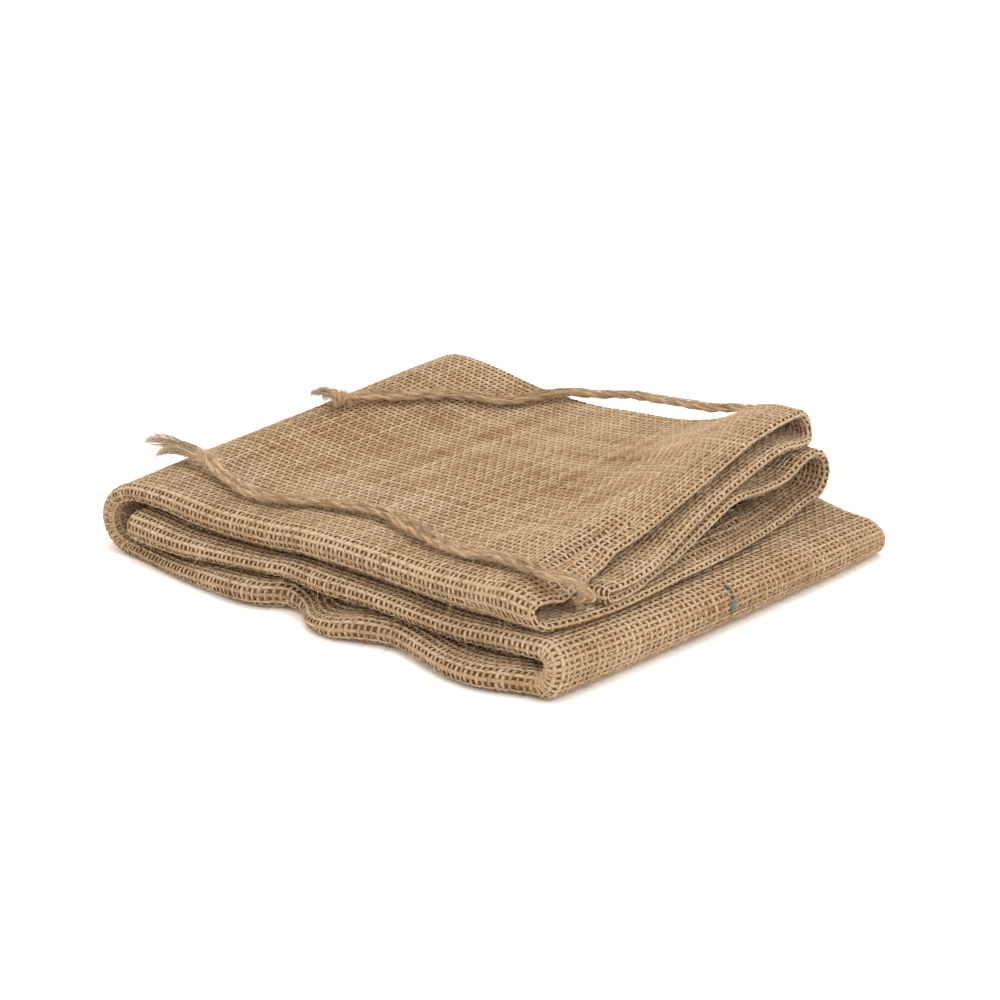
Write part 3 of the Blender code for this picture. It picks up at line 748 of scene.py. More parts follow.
def line_mesh(name: str, lines: list[Array], attributes: dict[str, list[Array]]) -> bpy.types.Mesh:
    """Gather open lines in one mesh of edges.

    Args:
        name: the mesh's name.
        lines: the points of each line.
        attributes: for each name, its values on each line, single or in threes.

    Returns:
        The mesh.
    """
    mesh = bpy.data.meshes.new(name)
    points = np.concatenate(lines)
    starts = np.cumsum([0] + [len(line) for line in lines])
    first = np.setdiff1d(np.arange(len(points)), starts[1:] - 1)
    mesh.vertices.add(len(points))
    mesh.vertices.foreach_set("co", points.astype(np.float32).ravel())
    mesh.edges.add(len(first))
    mesh.edges.foreach_set("vertices", np.stack([first, first + 1], 1).astype(np.int32).ravel())
    for label, values in attributes.items():
        flat = np.concatenate(values).astype(np.float32)
        kind, key = ("FLOAT_VECTOR", "vector") if flat.ndim == 2 else ("FLOAT", "value")
        mesh.attributes.new(label, kind, "POINT").data.foreach_set(key, flat.ravel())
    mesh.update()
    return mesh


def gather(name: str, lines: list[dict[str, Array]], keys: tuple[str, ...]) -> bpy.types.Mesh:
    """Gather open lines in one mesh of edges, with some of their values as attributes."""
    return line_mesh(name, [line["points"] for line in lines], {
        key: [line[key] for line in lines] for key in keys})


def grid_quads(rows: int, count: int, closed: bool = True) -> Array:
    """List the corners of a grid's quads.

    Args:
        rows: how many rows of points it has.
        count: how many points a row has.
        closed: whether each row ends where it starts.

    Returns:
        Four point numbers for each place between rows and between columns.
    """
    first = np.arange(rows * count).reshape(rows, count)
    after = np.roll(first, -1, 1)
    quads = np.stack([first[:-1], after[:-1], after[1:], first[1:]], -1)
    return quads if closed else quads[:, :-1]


def woven_mesh(name: str, grid: Array, rows: Array, columns: Array, turned: bool = False) -> bpy.types.Mesh:
    """Make a woven surface from a grid of points, with a map that counts its threads.

    Args:
        name: the mesh's name.
        grid: its points. Its rows close on themselves where there is one column more than points.
        rows: each row's number of threads from the start.
        columns: the same for each column.
        turned: whether its faces look the other way.

    Returns:
        The mesh.
    """
    quads = grid_quads(*grid.shape[:2], closed=len(columns) > grid.shape[1])
    maps = np.stack(np.meshgrid(rows, columns, indexing="ij"), -1)
    corners = np.stack([maps[:-1, :-1], maps[:-1, 1:], maps[1:, 1:], maps[1:, :-1]], 2)
    if turned:
        quads, corners = (np.roll(a[:, :, ::-1], 1, 2) for a in (quads, corners))
    mesh = bpy.data.meshes.new(name)
    mesh.from_pydata(grid.reshape(-1, 3).tolist(), [], quads.reshape(-1, 4).tolist())
    mesh.uv_layers.new(name="weave").data.foreach_set("uv", corners.astype(np.float32).ravel())
    mesh.shade_smooth()
    return mesh


# ---------------------------------------------------------------- the folded cloth


class Panel(Enum):
    """The stretches of the cloth from its sewn bottom to its mouth."""

    MIDDLE = "middle"
    NEAR_FOLD = "near_fold"
    BOTTOM = "bottom"
    LEFT_FOLD = "left_fold"
    TOP = "top"


NEAR_COLUMN = {Panel.BOTTOM: 1, Panel.MIDDLE: 2, Panel.TOP: 3}
OPEN_EDGE = {Panel.BOTTOM: 232.0, Panel.MIDDLE: 229.0, Panel.TOP: 223.0}


@dataclass(frozen=True)
class FoldMap:
    """Where the cloth's middle surface lies, for each station and each place around its section.

    A station is a panel and a place in it: along the panel, or the angle around a fold. Sizes are in
    millimetres.
    """

    ply: float = 2.0
    hem_ply: float = 3.2
    hem_length: float = 26.0
    panel_gap: float = 1.1
    near_fold_along: float = 252.0
    near_fold_hollow: float = 1.2
    near_fold_fullness: float = 0.45   # power that squares its lower half, pressed flat on the floor
    left_fold_along: float = 24.0
    left_fold_reach: float = 24.0
    left_fold_hollow: float = 14.0
    middle_end: float = 25.0
    edge_depth: float = 45.0
    slit_low: float = 12.0
    slit_high: float = 22.0
    near_fold_blend: float = 42.0
    near_fold_reach: float = 11.6      # its least reach, which sets how many wefts go around it
    swell_along: float = 110.0  # from the left fold, over which the top panel's height lifts what it lies on
    swell: float = 0.16         # share of that height
    swell_base: float = 20.0
    mouth_along: float = 249.0
    mouth_blend: float = 75.0
    level_low: float = 0.37
    level_high: float = 0.63
    inner_start: float = 34.0
    mouth_inset: float = 18.0
    side_start: float = 4.0
    ply_air: float = 0.5
    crease_step: float = 1.5
    ply_points: int = 90
    loop_points: int = 25

    def top_height(self, along: Values, across: Values) -> Array:
        """Read the height of the top panel's upper side."""
        rows = [column(TOP, i + 1, along) for i in range(len(TOP_ACROSS))]
        return curve(TOP_ACROSS, rows, across)

    def creases(self, table: tuple, along: Array, across: Array) -> Array:
        """Add up the soft ridges and troughs at places on the top panel.

        Args:
            table: the ridges, each with its height, its reach and its line.
            along: the places along.
            across: the places across.

        Returns:
            How far each place is raised.
        """
        rise = np.zeros_like(across)
        for height, reach, line in table:
            points = smooth_route(np.array(line), self.crease_step)
            away = np.hypot(along[:, None] - points[:, 0], across[:, None] - points[:, 1]).min(1)
            rise += height * np.exp(-(away / reach) ** 2)
        return rise

    def panel_sides(self, panel: Panel, along: float, across: Array) -> tuple[Array, Array]:
        """Read the heights of a panel's two sides.

        Args:
            panel: which panel.
            along: the station's place.
            across: places across it.

        Returns:
            The inner side and the outer one, which faces away from the panel's next turn.
        """
        inside = ease(0.0, self.edge_depth, across - column(NEAR_EDGE, 1, along))
        near = ease(self.near_fold_along - self.near_fold_blend, self.near_fold_along, along)
        low, gape, high = (
            blend(column(NEAR_EDGE, i, along), value, inside)
            for i, value in ((4, self.slit_low), (5, 0.0), (6, self.slit_high)))
        top = self.top_height(np.full_like(across, along), across)
        lifted = (1.0 - ease(0.0, self.swell_along, along)) * inside
        high = high + lifted * self.swell * (top - self.swell_base)
        low, high = (blend(v, column(NEAR_FOLD, i, across), near) for i, v in ((1, low), (2, high)))
        half = self.panel_gap / 2
        if panel is Panel.BOTTOM:
            return low - half - gape, np.zeros_like(across)
        if panel is Panel.MIDDLE:
            return low + half, high - half
        return high + half, top

    def sides(self, panel: Panel, place: float, across: Array) -> tuple[Array, Array]:
        """Find the inner and outer point of the cloth, as along and up, at a station.

        Args:
            panel: the station's panel.
            place: its place there.
            across: places across it.

        Returns:
            The inner points and the outer ones.
        """
        if panel is Panel.NEAR_FOLD:
            pair, along, hollow = (Panel.MIDDLE, Panel.BOTTOM), self.near_fold_along, self.near_fold_hollow
            reach = column(NEAR_FOLD, 3, across)
        elif panel is Panel.LEFT_FOLD:
            pair, along, hollow = (Panel.TOP, Panel.BOTTOM), self.left_fold_along, -self.left_fold_hollow
            reach = np.full_like(across, -self.left_fold_reach)
        else:
            inner, outer = self.panel_sides(panel, place, across)
            here = np.full_like(across, place)
            return np.stack([here, inner], -1), np.stack([here, outer], -1)
        upper, lower = (self.panel_sides(part, along, across) for part in pair)
        squared = panel is Panel.NEAR_FOLD and place < 0.0
        cosine = max(math.cos(place), 0.0) ** (self.near_fold_fullness if squared else 1.0)
        points = []
        for depth, above, below in ((hollow, upper[0], lower[0]), (reach, upper[1], lower[1])):
            middle, half = (above + below) / 2, (above - below) / 2
            ahead = np.full_like(across, along) + depth * cosine
            points.append(np.stack([ahead, middle + half * math.sin(place)], -1))
        return points[0], points[1]

    def edges(self, panel: Panel, place: float) -> tuple[float, float]:
        """Find where a station's cloth starts and ends across.

        Args:
            panel: the station's panel.
            place: its place there.

        Returns:
            The two places across.
        """
        if panel in NEAR_COLUMN:
            return float(column(NEAR_EDGE, NEAR_COLUMN[panel], place)), OPEN_EDGE[panel]
        upper, along = (
            (Panel.MIDDLE, self.near_fold_along) if panel is Panel.NEAR_FOLD
            else (Panel.TOP, self.left_fold_along)
        )
        down = (1.0 - math.sin(place)) / 2
        ends = [(float(column(NEAR_EDGE, NEAR_COLUMN[part], along)), OPEN_EDGE[part])
                for part in (upper, Panel.BOTTOM)]
        return tuple(blend(a, b, down) for a, b in zip(*ends))

    def mouth_part(self, panel: Panel, place: float) -> float:
        """How far a station has taken on the mouth's shape, from 0 to 1."""
        start = self.mouth_along - self.mouth_blend
        return float(ease(start, self.mouth_along, place)) if panel is Panel.TOP else 0.0

    def depth(self, panel: Panel, place: float, across: Array) -> Array:
        """How deep the panel's four plies are together."""
        inner, outer = self.sides(panel, place, across)
        return np.linalg.norm(outer - inner, axis=-1)

    def ply_at(self, panel: Panel, place: float, across: Array) -> Array:
        """How thick one ply is, with the hem, and pressed thinner where there is no room.

        Args:
            panel: the station's panel.
            place: its place there.
            across: places across it.

        Returns:
            Its thickness at each place.
        """
        start = self.mouth_along - self.hem_length
        hem = float(ease(start, start + self.hem_length / 2, place)) if panel is Panel.TOP else 0.0
        room = (self.depth(panel, place, across) - 3 * self.ply_air) / 4
        return np.minimum(blend(self.ply, self.hem_ply, hem), room)

    def levels(self, panel: Panel, place: float, across: Array) -> Array:
        """Find the heights of the four plies' middles above the inner side, lowest first.

        Args:
            panel: the station's panel.
            place: its place there.
            across: places across it.

        Returns:
            A row of heights for each ply.
        """
        mouth, ply = self.mouth_part(panel, place), self.ply_at(panel, place, across)
        depth = self.depth(panel, place, across)
        low = blend(self.level_low, column(MOUTH, 5, across), mouth)
        high = blend(self.level_high, column(MOUTH, 6, across), mouth)
        lowest, highest = ply / 2 + mouth * column(MOUTH, 7, across), depth - ply / 2
        room = ply + self.ply_air
        inner_low = np.maximum(lowest + room, low * depth)
        inner_high = np.minimum(highest - room, np.maximum(inner_low + room, high * depth))
        return np.stack([lowest, np.minimum(inner_low, inner_high - room), inner_high, highest])

    def chain(self, panel: Panel, place: float, start: float, end: float, plies: tuple[int, int]) -> Array:
        """Lay points along a lower ply, around its turn and back along the upper one.

        Args:
            panel: the station's panel.
            place: its place there.
            start: across, where the turn begins.
            end: across, where both plies end.
            plies: which two of the four plies.

        Returns:
            Points as across and height.
        """
        low, high = plies
        at_start = self.levels(panel, place, np.array([start]))[:, 0]
        turn_at = start + (at_start[high] - at_start[low]) / 2
        across = np.linspace(end, turn_at, self.ply_points)
        heights = self.levels(panel, place, across)
        lower = np.stack([across, heights[low]], -1)
        upper = np.stack([across, heights[high]], -1)[::-1]
        loop = half_circle(lower[-1], upper[0], -1, self.loop_points)
        return np.concatenate([lower, loop, upper])

    def ring(self, panel: Panel, place: float, outer: int, inner: int) -> Array:
        """Lay evenly spaced points around a station's closed section.

        Args:
            panel: the station's panel.
            place: its place there.
            outer: spacings from the single roll's middle to the middle of a turn on the open side.
            inner: spacings from there to the middle of the inner turn.

        Returns:
            Points as across and height, from the middle of the open side's lower turn.
        """
        near, far = self.edges(panel, place)
        half_near, half_far = self.ply_at(panel, place, np.array([near, far])) / 2
        inner_start = self.inner_start + self.mouth_inset * self.mouth_part(panel, place)
        rim = self.levels(panel, place, np.array([far - self.side_start]))[:, 0]
        reach = far - max(rim[1] - rim[0], rim[3] - rim[2]) / 2 - half_far
        outside = self.chain(panel, place, near + half_near, reach, (0, 3))
        inside = self.chain(panel, place, inner_start, reach, (1, 2))[::-1]
        high_turn = half_circle(outside[-1], inside[0], 1, self.loop_points)
        low_turn = half_circle(inside[-1], outside[0], 1, self.loop_points)
        half = self.loop_points // 2
        closed = np.concatenate([low_turn[half:], outside, high_turn, inside, low_turn[:half + 1]])
        run = np.concatenate([[0.0], np.cumsum(np.linalg.norm(np.diff(closed, axis=0), axis=1))])
        marks = np.array([
            0, half + len(outside) // 2, half + 1 + len(outside) + half,
            half + 1 + len(outside) + self.loop_points + len(inside) // 2, len(closed) - 1,
        ])
        spans = (outer, outer, inner, inner)
        wanted = np.concatenate([
            np.linspace(run[a], run[b], count, endpoint=False)
            for a, b, count in zip(marks, marks[1:], spans)
        ])
        return np.stack([np.interp(wanted, run, closed[:, k]) for k in (0, 1)], -1)

    def lay(self, panel: Panel, place: float, ring: Array) -> Array:
        """Turn a section's points to the frame's.

        Args:
            panel: the station's panel.
            place: its place there.
            ring: points as across and height.

        Returns:
            The points, in metres.
        """
        across, height = ring[:, 0], ring[:, 1]
        inner, outer = self.sides(panel, place, across)
        part = (height / self.depth(panel, place, across))[:, None]
        along, up = (inner + (outer - inner) * part).T
        mouth = self.mouth_part(panel, place)
        if mouth > 0.0:
            part = part[:, 0]
            zero = np.zeros_like(across)
            places = [zero, column(MOUTH, 5, across), column(MOUTH, 6, across), zero + 1.0]
            ends = [column(MOUTH, i, across) for i in (1, 2, 3, 4)]
            along = along + mouth * (curve(places, ends, part) - self.mouth_along)
        if panel is Panel.TOP:
            part = np.ravel(part)
            up = up + self.creases(CREASES, along, across) * part ** 2
            up = up + self.creases(LOW_CREASES, along, across) * (1 - part) ** 2
        return np.stack([along - CENTRE[0], across - CENTRE[1], up], -1) * MM


def half_circle(start: Array, end: Array, side: int, count: int) -> Array:
    """Lay points inside a half circle between two points above each other.

    Args:
        start: where it leaves from.
        end: where it arrives.
        side: 1 where it bulges towards greater places across, -1 where towards smaller ones.
        count: how many points.

    Returns:
        Its points, without the two ends.
    """
    middle, half = (start + end) / 2, (end - start) / 2
    turns = np.pi * np.arange(1, count + 1) / (count + 1)
    bulge = np.array([side * np.linalg.norm(half), 0.0])
    return middle - np.outer(np.cos(turns), half) + np.outer(np.sin(turns), bulge)


@dataclass(frozen=True)
class Weave:
    """The hessian's own sizes, in millimetres."""

    warp_pitch: float = 3.4     # between yarns that run along the sack
    weft_pitch: float = 2.5     # between yarns that run around it
    warp_width: float = 2.15
    weft_width: float = 1.72
    yarn_thickness: float = 0.46
    crimp: float = 0.25         # how far a yarn swings over and under its neighbours
    ground_drop: float = 0.16   # from the yarns' middle down to the ground sheet
    plain_ply: float = 2.0
    hem_swell: float = 1.25     # how far the yarns stand out, for each unit of ply over a plain one
    hem_cells: int = 10         # how far the hem is turned in, in weft pitches
    lip_cells: int = 2          # around its edge
    wander: float = 0.28        # how far yarns stray sideways
    wander_run: float = 14.0    # over how many half pitches
    uneven: float = 0.24        # how much their thickness varies
    slubs: float = 0.6          # how much of that comes and goes along a yarn
    slub_run: float = 9.0
    own_size: float = 0.7       # and how much is one yarn's own
    tone: float = 0.5
    own_tone: float = 0.20
    tone_drifts: tuple = ((0.12, 40.0), (0.08, 5.0))    # a slow drift of the tone and a quick one


# Ways in which a place is looked at, to find whether it is seen: how far they lean from the surface's
# normal, in radians, and how many lean so far.
LOOKS = ((0.0, 1), (0.7, 5), (1.15, 6), (1.4, 6))
LOOK_START = 1.3 * MM
LOOK_REACH = 0.3
MARK_STRAY = 2 * MM         # how far from its place the mark's warp may be
MARK_RISE = 0.6             # how far its stitches lie above the yarns' middle, in thicknesses
FINE_TURN = 10              # lattice points on each side of a turn that has finer faces
COVER_GAIN, COVER_LOSS = 1.6, 0.1   # which turn a blurred share of seen crossings to full cover
PUCKER = (1.6, 0.5, 1.9)    # the seam's mean bulge, its swing, and radians of that for each warp
SEAM_BULGE = 1.1            # its bulge beside that, in millimetres
SEAM_THREADS = 0.7          # threads from row to row of its faces
NAP_HEIGHT = 0.7            # from the yarns' middle to their tops
NAP_WORN = 0.92             # share of the fibres that is lost from flat tops
NAP_FACING = (0.45, 0.92)   # how far up a face looks, where wear starts and where it is full
NAP_LOW = 0.8               # how many more stay near the floor
NAP_LOW_HEIGHTS = (0.022, 0.004)


@dataclass
class WovenCloth:
    """The sack's cloth: a lattice of points and normals, two for each thread spacing.

    The sheet, the yarns and the loose fibres are all made from it.
    """

    fold: FoldMap = field(default_factory=FoldMap)
    weave: Weave = field(default_factory=Weave)
    seed: int = 11
    outer_span: float = 225.0   # from the single roll's middle to a turn's middle on the open side
    inner_span: float = 182.0   # from there to the middle of the inner turn
    hidden_lift: float = 1.1    # how far the ground fills the place of yarns that aren't laid
    mark_across: float = 115.5

    def __post_init__(self) -> None:
        """Lay out the lattice."""
        weave = self.weave
        self.outer, self.inner = (
            2 * round(span / weave.warp_pitch / 2) for span in (self.outer_span, self.inner_span))
        self.around = 2 * (self.outer + self.inner)
        rings, plies, self.panels = [], [], []
        for panel, place in self.stations():
            ring = self.fold.ring(panel, place, 2 * self.outer, 2 * self.inner)
            rings.append(self.fold.lay(panel, place, ring))
            plies.append(self.fold.ply_at(panel, place, ring[:, 0]))
            self.panels.append(panel)
        self.surface, self.ply = np.array(rings), np.array(plies) * MM
        self.ahead = unit(np.gradient(self.surface, axis=0))
        beside = np.roll(self.surface, -1, 1) - np.roll(self.surface, 1, 1)
        self.normal = unit(np.cross(beside, self.ahead))
        # The top panel's upper ply faces up.
        self.normal *= np.sign(self.normal[-1, 3 * self.outer, 2])
        self.layer, self.layer_normal, self.rise = self.lay_yarns()
        self.open_cells = self.seen_cells()

    def stations(self) -> list[tuple[Panel, float]]:
        """List the lattice's stations, two for each weft spacing, at even steps along the cloth.

        Returns:
            Each station's panel and its place there.
        """
        fold, pitch = self.fold, self.weave.weft_pitch
        near_rise = float(column(NEAR_FOLD, 2, CENTRE[1])) / 2
        left_rise = float(fold.top_height(fold.left_fold_along, CENTRE[1])) / 2
        near_turn, left_turn = (
            math.pi * math.hypot(rise, reach) / 2 ** 0.5
            for rise, reach in ((near_rise, fold.near_fold_reach), (left_rise, fold.left_fold_reach)))
        near, left, quarter = fold.near_fold_along, fold.left_fold_along, math.pi / 2
        spans = (
            (Panel.MIDDLE, fold.middle_end, near, near - fold.middle_end),
            (Panel.NEAR_FOLD, quarter, -quarter, near_turn),
            (Panel.BOTTOM, near, left, near - left),
            (Panel.LEFT_FOLD, -quarter, quarter, left_turn),
            (Panel.TOP, left, fold.mouth_along, fold.mouth_along - left),
        )
        laid = []
        for panel, start, end, length in spans:
            count = 2 * round(length / pitch)
            laid += [(panel, start + (end - start) * i / count) for i in range(count)]
        return [*laid, (Panel.TOP, fold.mouth_along)]

    def lay_yarns(self) -> tuple[Array, Array, Array]:
        """Carry the yarns' middle surface over the cloth, around the hem's edge and back inside it.

        Returns:
            Its points and normals, and how far it stands out from the cloth's middle: more where
            the hem is double.
        """
        weave = self.weave
        rise = (np.maximum(self.ply - weave.plain_ply * MM, 0.0) * weave.hem_swell)[..., None]
        points = self.surface + self.normal * rise
        edge, out, on = self.surface[-1], self.normal[-1], self.ahead[-1]
        angles = [math.pi * step / (2 * weave.lip_cells) for step in range(1, 2 * weave.lip_cells + 1)]
        facing = np.array([out * math.cos(angle) + on * math.sin(angle) for angle in angles])
        back = slice(-2, -2 - 2 * weave.hem_cells, -1)
        inside = self.surface[back] - self.normal[back] * rise[back]
        return (
            np.concatenate([points, edge + facing * rise[-1], inside]),
            np.concatenate([self.normal, facing, -self.normal[back]]),
            np.concatenate([rise, np.repeat(rise[-1:], len(facing), 0), rise[back]]),
        )

    def seen_cells(self) -> Array:
        """Find the crossings that can be seen, by looking outwards from every other one.

        Returns:
            Whether each crossing is seen, for each weft and each warp.
        """
        grid = self.surface[::4, ::4]
        tree = BVHTree.FromPolygons(
            grid.reshape(-1, 3).tolist(), grid_quads(*grid.shape[:2]).reshape(-1, 4).tolist())
        points, normals = self.layer[::4, ::4], self.layer_normal[::4, ::4]
        side = unit(np.cross(normals, np.where(np.abs(normals[..., 2:]) < 0.9, (0, 0, 1.0), (1.0, 0, 0))))
        other = np.cross(normals, side)
        directions = []
        for slope, count in LOOKS:
            for k in range(count):
                turn = 2 * math.pi * (k + slope) / count
                directions.append(
                    normals * math.cos(slope)
                    + (side * math.cos(turn) + other * math.sin(turn)) * math.sin(slope))
        seen = np.zeros(points.shape[:2], bool)
        for j, i in np.ndindex(seen.shape):
            start = Vector(points[j, i] + normals[j, i] * LOOK_START)
            for direction in directions:
                way = Vector(direction[j, i])
                to_floor = way.z < 0 and start.z / -way.z < LOOK_REACH
                if not to_floor and tree.ray_cast(start, way, LOOK_REACH)[0] is None:
                    seen[j, i] = True
                    break
        rows, columns = (n // 2 + n % 2 for n in self.layer.shape[:2])
        full = np.repeat(np.repeat(seen, 2, 0), 2, 1)[:rows, :columns]
        padded = np.pad(np.pad(full, ((1, 1), (0, 0))), ((0, 0), (1, 1)), mode="wrap")
        return np.any([
            padded[j:j + rows, i:i + columns] for j in range(3) for i in range(3)
        ], axis=0)

    def runs(self, seen: Array) -> list[tuple[int, int]]:
        """List the stretches of seen crossings along one yarn.

        Args:
            seen: whether each crossing is seen.

        Returns:
            The first and last lattice point of each stretch.
        """
        flags = np.concatenate([[False], seen, [False]])
        starts = np.flatnonzero(flags[1:] & ~flags[:-1])
        ends = np.flatnonzero(flags[:-1] & ~flags[1:]) - 1
        return [(max(0, 2 * a - 1), 2 * b + 1) for a, b in zip(starts, ends) if b > a]

    def yarn_lines(self, points: Array, normals: Array, swing: Array, seen: Array,
                   rng: np.random.Generator) -> list[dict[str, Array]]:
        """Lay one yarn over and under its neighbours wherever it is seen.

        Args:
            points: the lattice points that it follows.
            normals: the cloth's normals there.
            swing: 1 where it goes over, -1 where it goes under and 0 between.
            seen: whether each crossing is seen.
            rng: the random numbers' source.

        Returns:
            For each stretch, its points, normals, widths and tones.
        """
        weave, count = self.weave, len(points)
        beside = unit(np.cross(normals, np.gradient(points, axis=0)))
        stray = drift(rng, count, weave.wander_run) * weave.wander * MM
        line = points + normals * (swing * weave.crimp * MM)[:, None] + beside * stray[:, None]
        slub = 1 + weave.uneven * (
            weave.slubs * drift(rng, count, weave.slub_run) + rng.uniform(-weave.own_size, weave.own_size))
        tone = weave.tone + weave.own_tone * rng.uniform(-1, 1)
        tone = tone + sum(share * drift(rng, count, reach) for share, reach in weave.tone_drifts)
        return [
            {"points": line[a:b + 1], "cloth_normal": normals[a:b + 1],
             "width": slub[a:b + 1], "tone": tone[a:b + 1]}
            for a, b in self.runs(seen)
        ]

    def warp_lines(self) -> list[dict[str, Array]]:
        """Lay the yarns that run along the sack.

        Returns:
            Each stretch's points, normals, widths and tones.
        """
        rng = np.random.default_rng(self.seed)
        swing = np.cos(np.pi * np.arange(len(self.layer)) / 2)
        lines = []
        for i in range(self.around):
            lines += self.yarn_lines(
                self.layer[:, 2 * i], self.layer_normal[:, 2 * i], swing * (-1) ** i,
                self.open_cells[:, i], rng)
        return lines

    def weft_lines(self) -> list[dict[str, Array]]:
        """Lay the yarns that run around it, each starting at a place that isn't seen.

        Returns:
            Each stretch's points, normals, widths and tones.
        """
        rng = np.random.default_rng(self.seed + 1)
        count = self.layer.shape[1]
        lines = []
        for j, seen in enumerate(self.open_cells):
            start = int(np.argmin(seen))
            order = (np.arange(count + 1) + 2 * start) % count
            swing = -np.cos(np.pi * order / 2) * (-1) ** j
            seen = np.roll(seen, -start)
            if seen.all():
                seen = np.append(seen, True)
            lines += self.yarn_lines(
                self.layer[2 * j, order], self.layer_normal[2 * j, order], swing, seen, rng)
        return lines

    def mark_lines(self) -> list[dict[str, Array]]:
        """Lay the few stitches of dyed thread that mark the near fold's face.

        Returns:
            Each stitch's points, normals, widths and tones.
        """
        fold = np.array([j for j, panel in enumerate(self.panels) if panel is Panel.NEAR_FOLD])
        face = self.layer[fold[len(fold) // 2]]
        astray = np.abs(face[:, 1] - (self.mark_across - CENTRE[1]) * MM)
        warp = int(np.argmax(np.where(astray < MARK_STRAY, face[:, 0], -1.0)))
        height = self.layer[fold, warp, 2] / MM
        lines = []
        for top, bottom, side, width, tone in MARK_STITCHES:
            rows = fold[(height <= top) & (height >= bottom)]
            points, normals = self.layer[rows, warp], self.layer_normal[rows, warp]
            beside = unit(np.cross(normals, np.gradient(points, axis=0)))
            rise = self.weave.yarn_thickness * MARK_RISE * (1 + np.sin(np.linspace(0, np.pi, len(rows))))
            lines.append({
                "points": points + (normals * rise[:, None] + beside * side) * MM, "cloth_normal": normals,
                "width": np.full(len(rows), width), "tone": np.full(len(rows), tone)})
        return lines

    def sheet_mesh(self) -> bpy.types.Mesh:
        """Make the ground sheet, with a map that counts its threads.

        Returns:
            The sheet, with coarser faces where the cloth is flat.
        """
        last = len(self.panels) - 1
        rows = [0]
        for j in range(1, len(self.layer)):
            fine = j > last or self.panels[j] in (Panel.NEAR_FOLD, Panel.LEFT_FOLD)
            if j - rows[-1] >= (2 if fine else 4) or j in (last, len(self.layer) - 1):
                rows.append(j)
        turns = np.cumsum([0, 2 * self.outer, 2 * self.outer, 2 * self.inner])
        total = 2 * self.around
        columns = [
            i for i in range(0, total, 2)
            if i % 4 == 0 or min(min(abs(i - m), total - abs(i - m)) for m in turns) <= FINE_TURN]
        lift = (1 - self.coverage())[..., None] * self.hidden_lift * MM
        drop = np.full_like(self.rise, self.weave.ground_drop * MM)
        hem = slice(last - 2 * self.weave.hem_cells, None)
        drop[hem] = np.minimum(drop, self.rise)[hem]
        points = self.layer + self.layer_normal * (lift - drop)
        return woven_mesh("sack_cloth", points[np.ix_(rows, columns)],
                          np.array(rows) / 2, np.array([*columns, total]) / 2)

    def coverage(self) -> Array:
        """Spread the seen crossings to a smooth share of cover at every lattice point.

        Returns:
            The shares, from 0 to 1.
        """
        covered = np.repeat(np.repeat(self.open_cells.astype(float), 2, 0), 2, 1)[:len(self.layer)]
        for _ in range(3):
            covered = (covered + np.roll(covered, 1, 1) + np.roll(covered, -1, 1)) / 3
            padded = np.pad(covered, ((1, 1), (0, 0)), mode="edge")
            covered = (padded[:-2] + padded[1:-1] + padded[2:]) / 3
        covered[len(self.surface):] = 1.0
        return np.clip(covered * COVER_GAIN - COVER_LOSS, 0.0, 1.0)

    def seam_mesh(self) -> bpy.types.Mesh:
        """Close the sewn bottom: a puckered strip from the outer plies to the inner ones.

        Returns:
            The strip.
        """
        ring = self.surface[0]
        split = 4 * self.outer
        outer = ring[:split + 1:2]
        inner = np.concatenate([ring[split::2], ring[:1]])[::-1]
        inner = read_line(inner, np.linspace(0, len(inner) - 1, len(outer)))
        back = -self.ahead[0, :split + 1:2] * MM
        pucker = PUCKER[0] + PUCKER[1] * np.sin(np.arange(len(outer)) * PUCKER[2])
        bulges = {0.0: 0.0, 0.25: SEAM_BULGE, 0.5: pucker, 0.75: SEAM_BULGE, 1.0: 0.0}
        grid = np.array([blend(outer, inner, part) + back * np.reshape(bulge, (-1, 1))
                         for part, bulge in bulges.items()])
        return woven_mesh("sewn_bottom", grid, np.arange(len(grid)) * SEAM_THREADS,
                          np.arange(len(outer)), turned=True)

    def nap_mesh(self) -> bpy.types.Mesh:
        """Make the carrier on which loose fibres grow: the yarns' tops wherever they are seen.

        Returns:
            The carrier, with the fibres' share of the density as its nap.
        """
        normals = self.layer_normal[::4, ::4]
        points = self.layer[::4, ::4] + normals * NAP_HEIGHT * MM
        seen = self.open_cells[::2, ::2]
        rows, count = points.shape[:2]
        kept = seen[:rows - 1, :count] & seen[1:rows, :count]
        mesh = bpy.data.meshes.new("nap")
        mesh.from_pydata(points.reshape(-1, 3).tolist(), [], grid_quads(rows, count)[kept].tolist())
        # Flat tops are worn smooth; the turned edges, the hem and what lies low stay hairy.
        weight = 1.0 - NAP_WORN * ease(*NAP_FACING, np.clip(normals[..., 2], 0.0, 1.0))
        weight[len(self.surface) // 4 - 2:] = 1.0
        weight *= 1.0 + NAP_LOW * ease(*NAP_LOW_HEIGHTS, points[..., 2])
        mesh.attributes.new("nap", "FLOAT", "POINT").data.foreach_set(
            "value", weight.astype(np.float32).ravel())
        return mesh


# ---------------------------------------------------------------- what grows on lines and surfaces


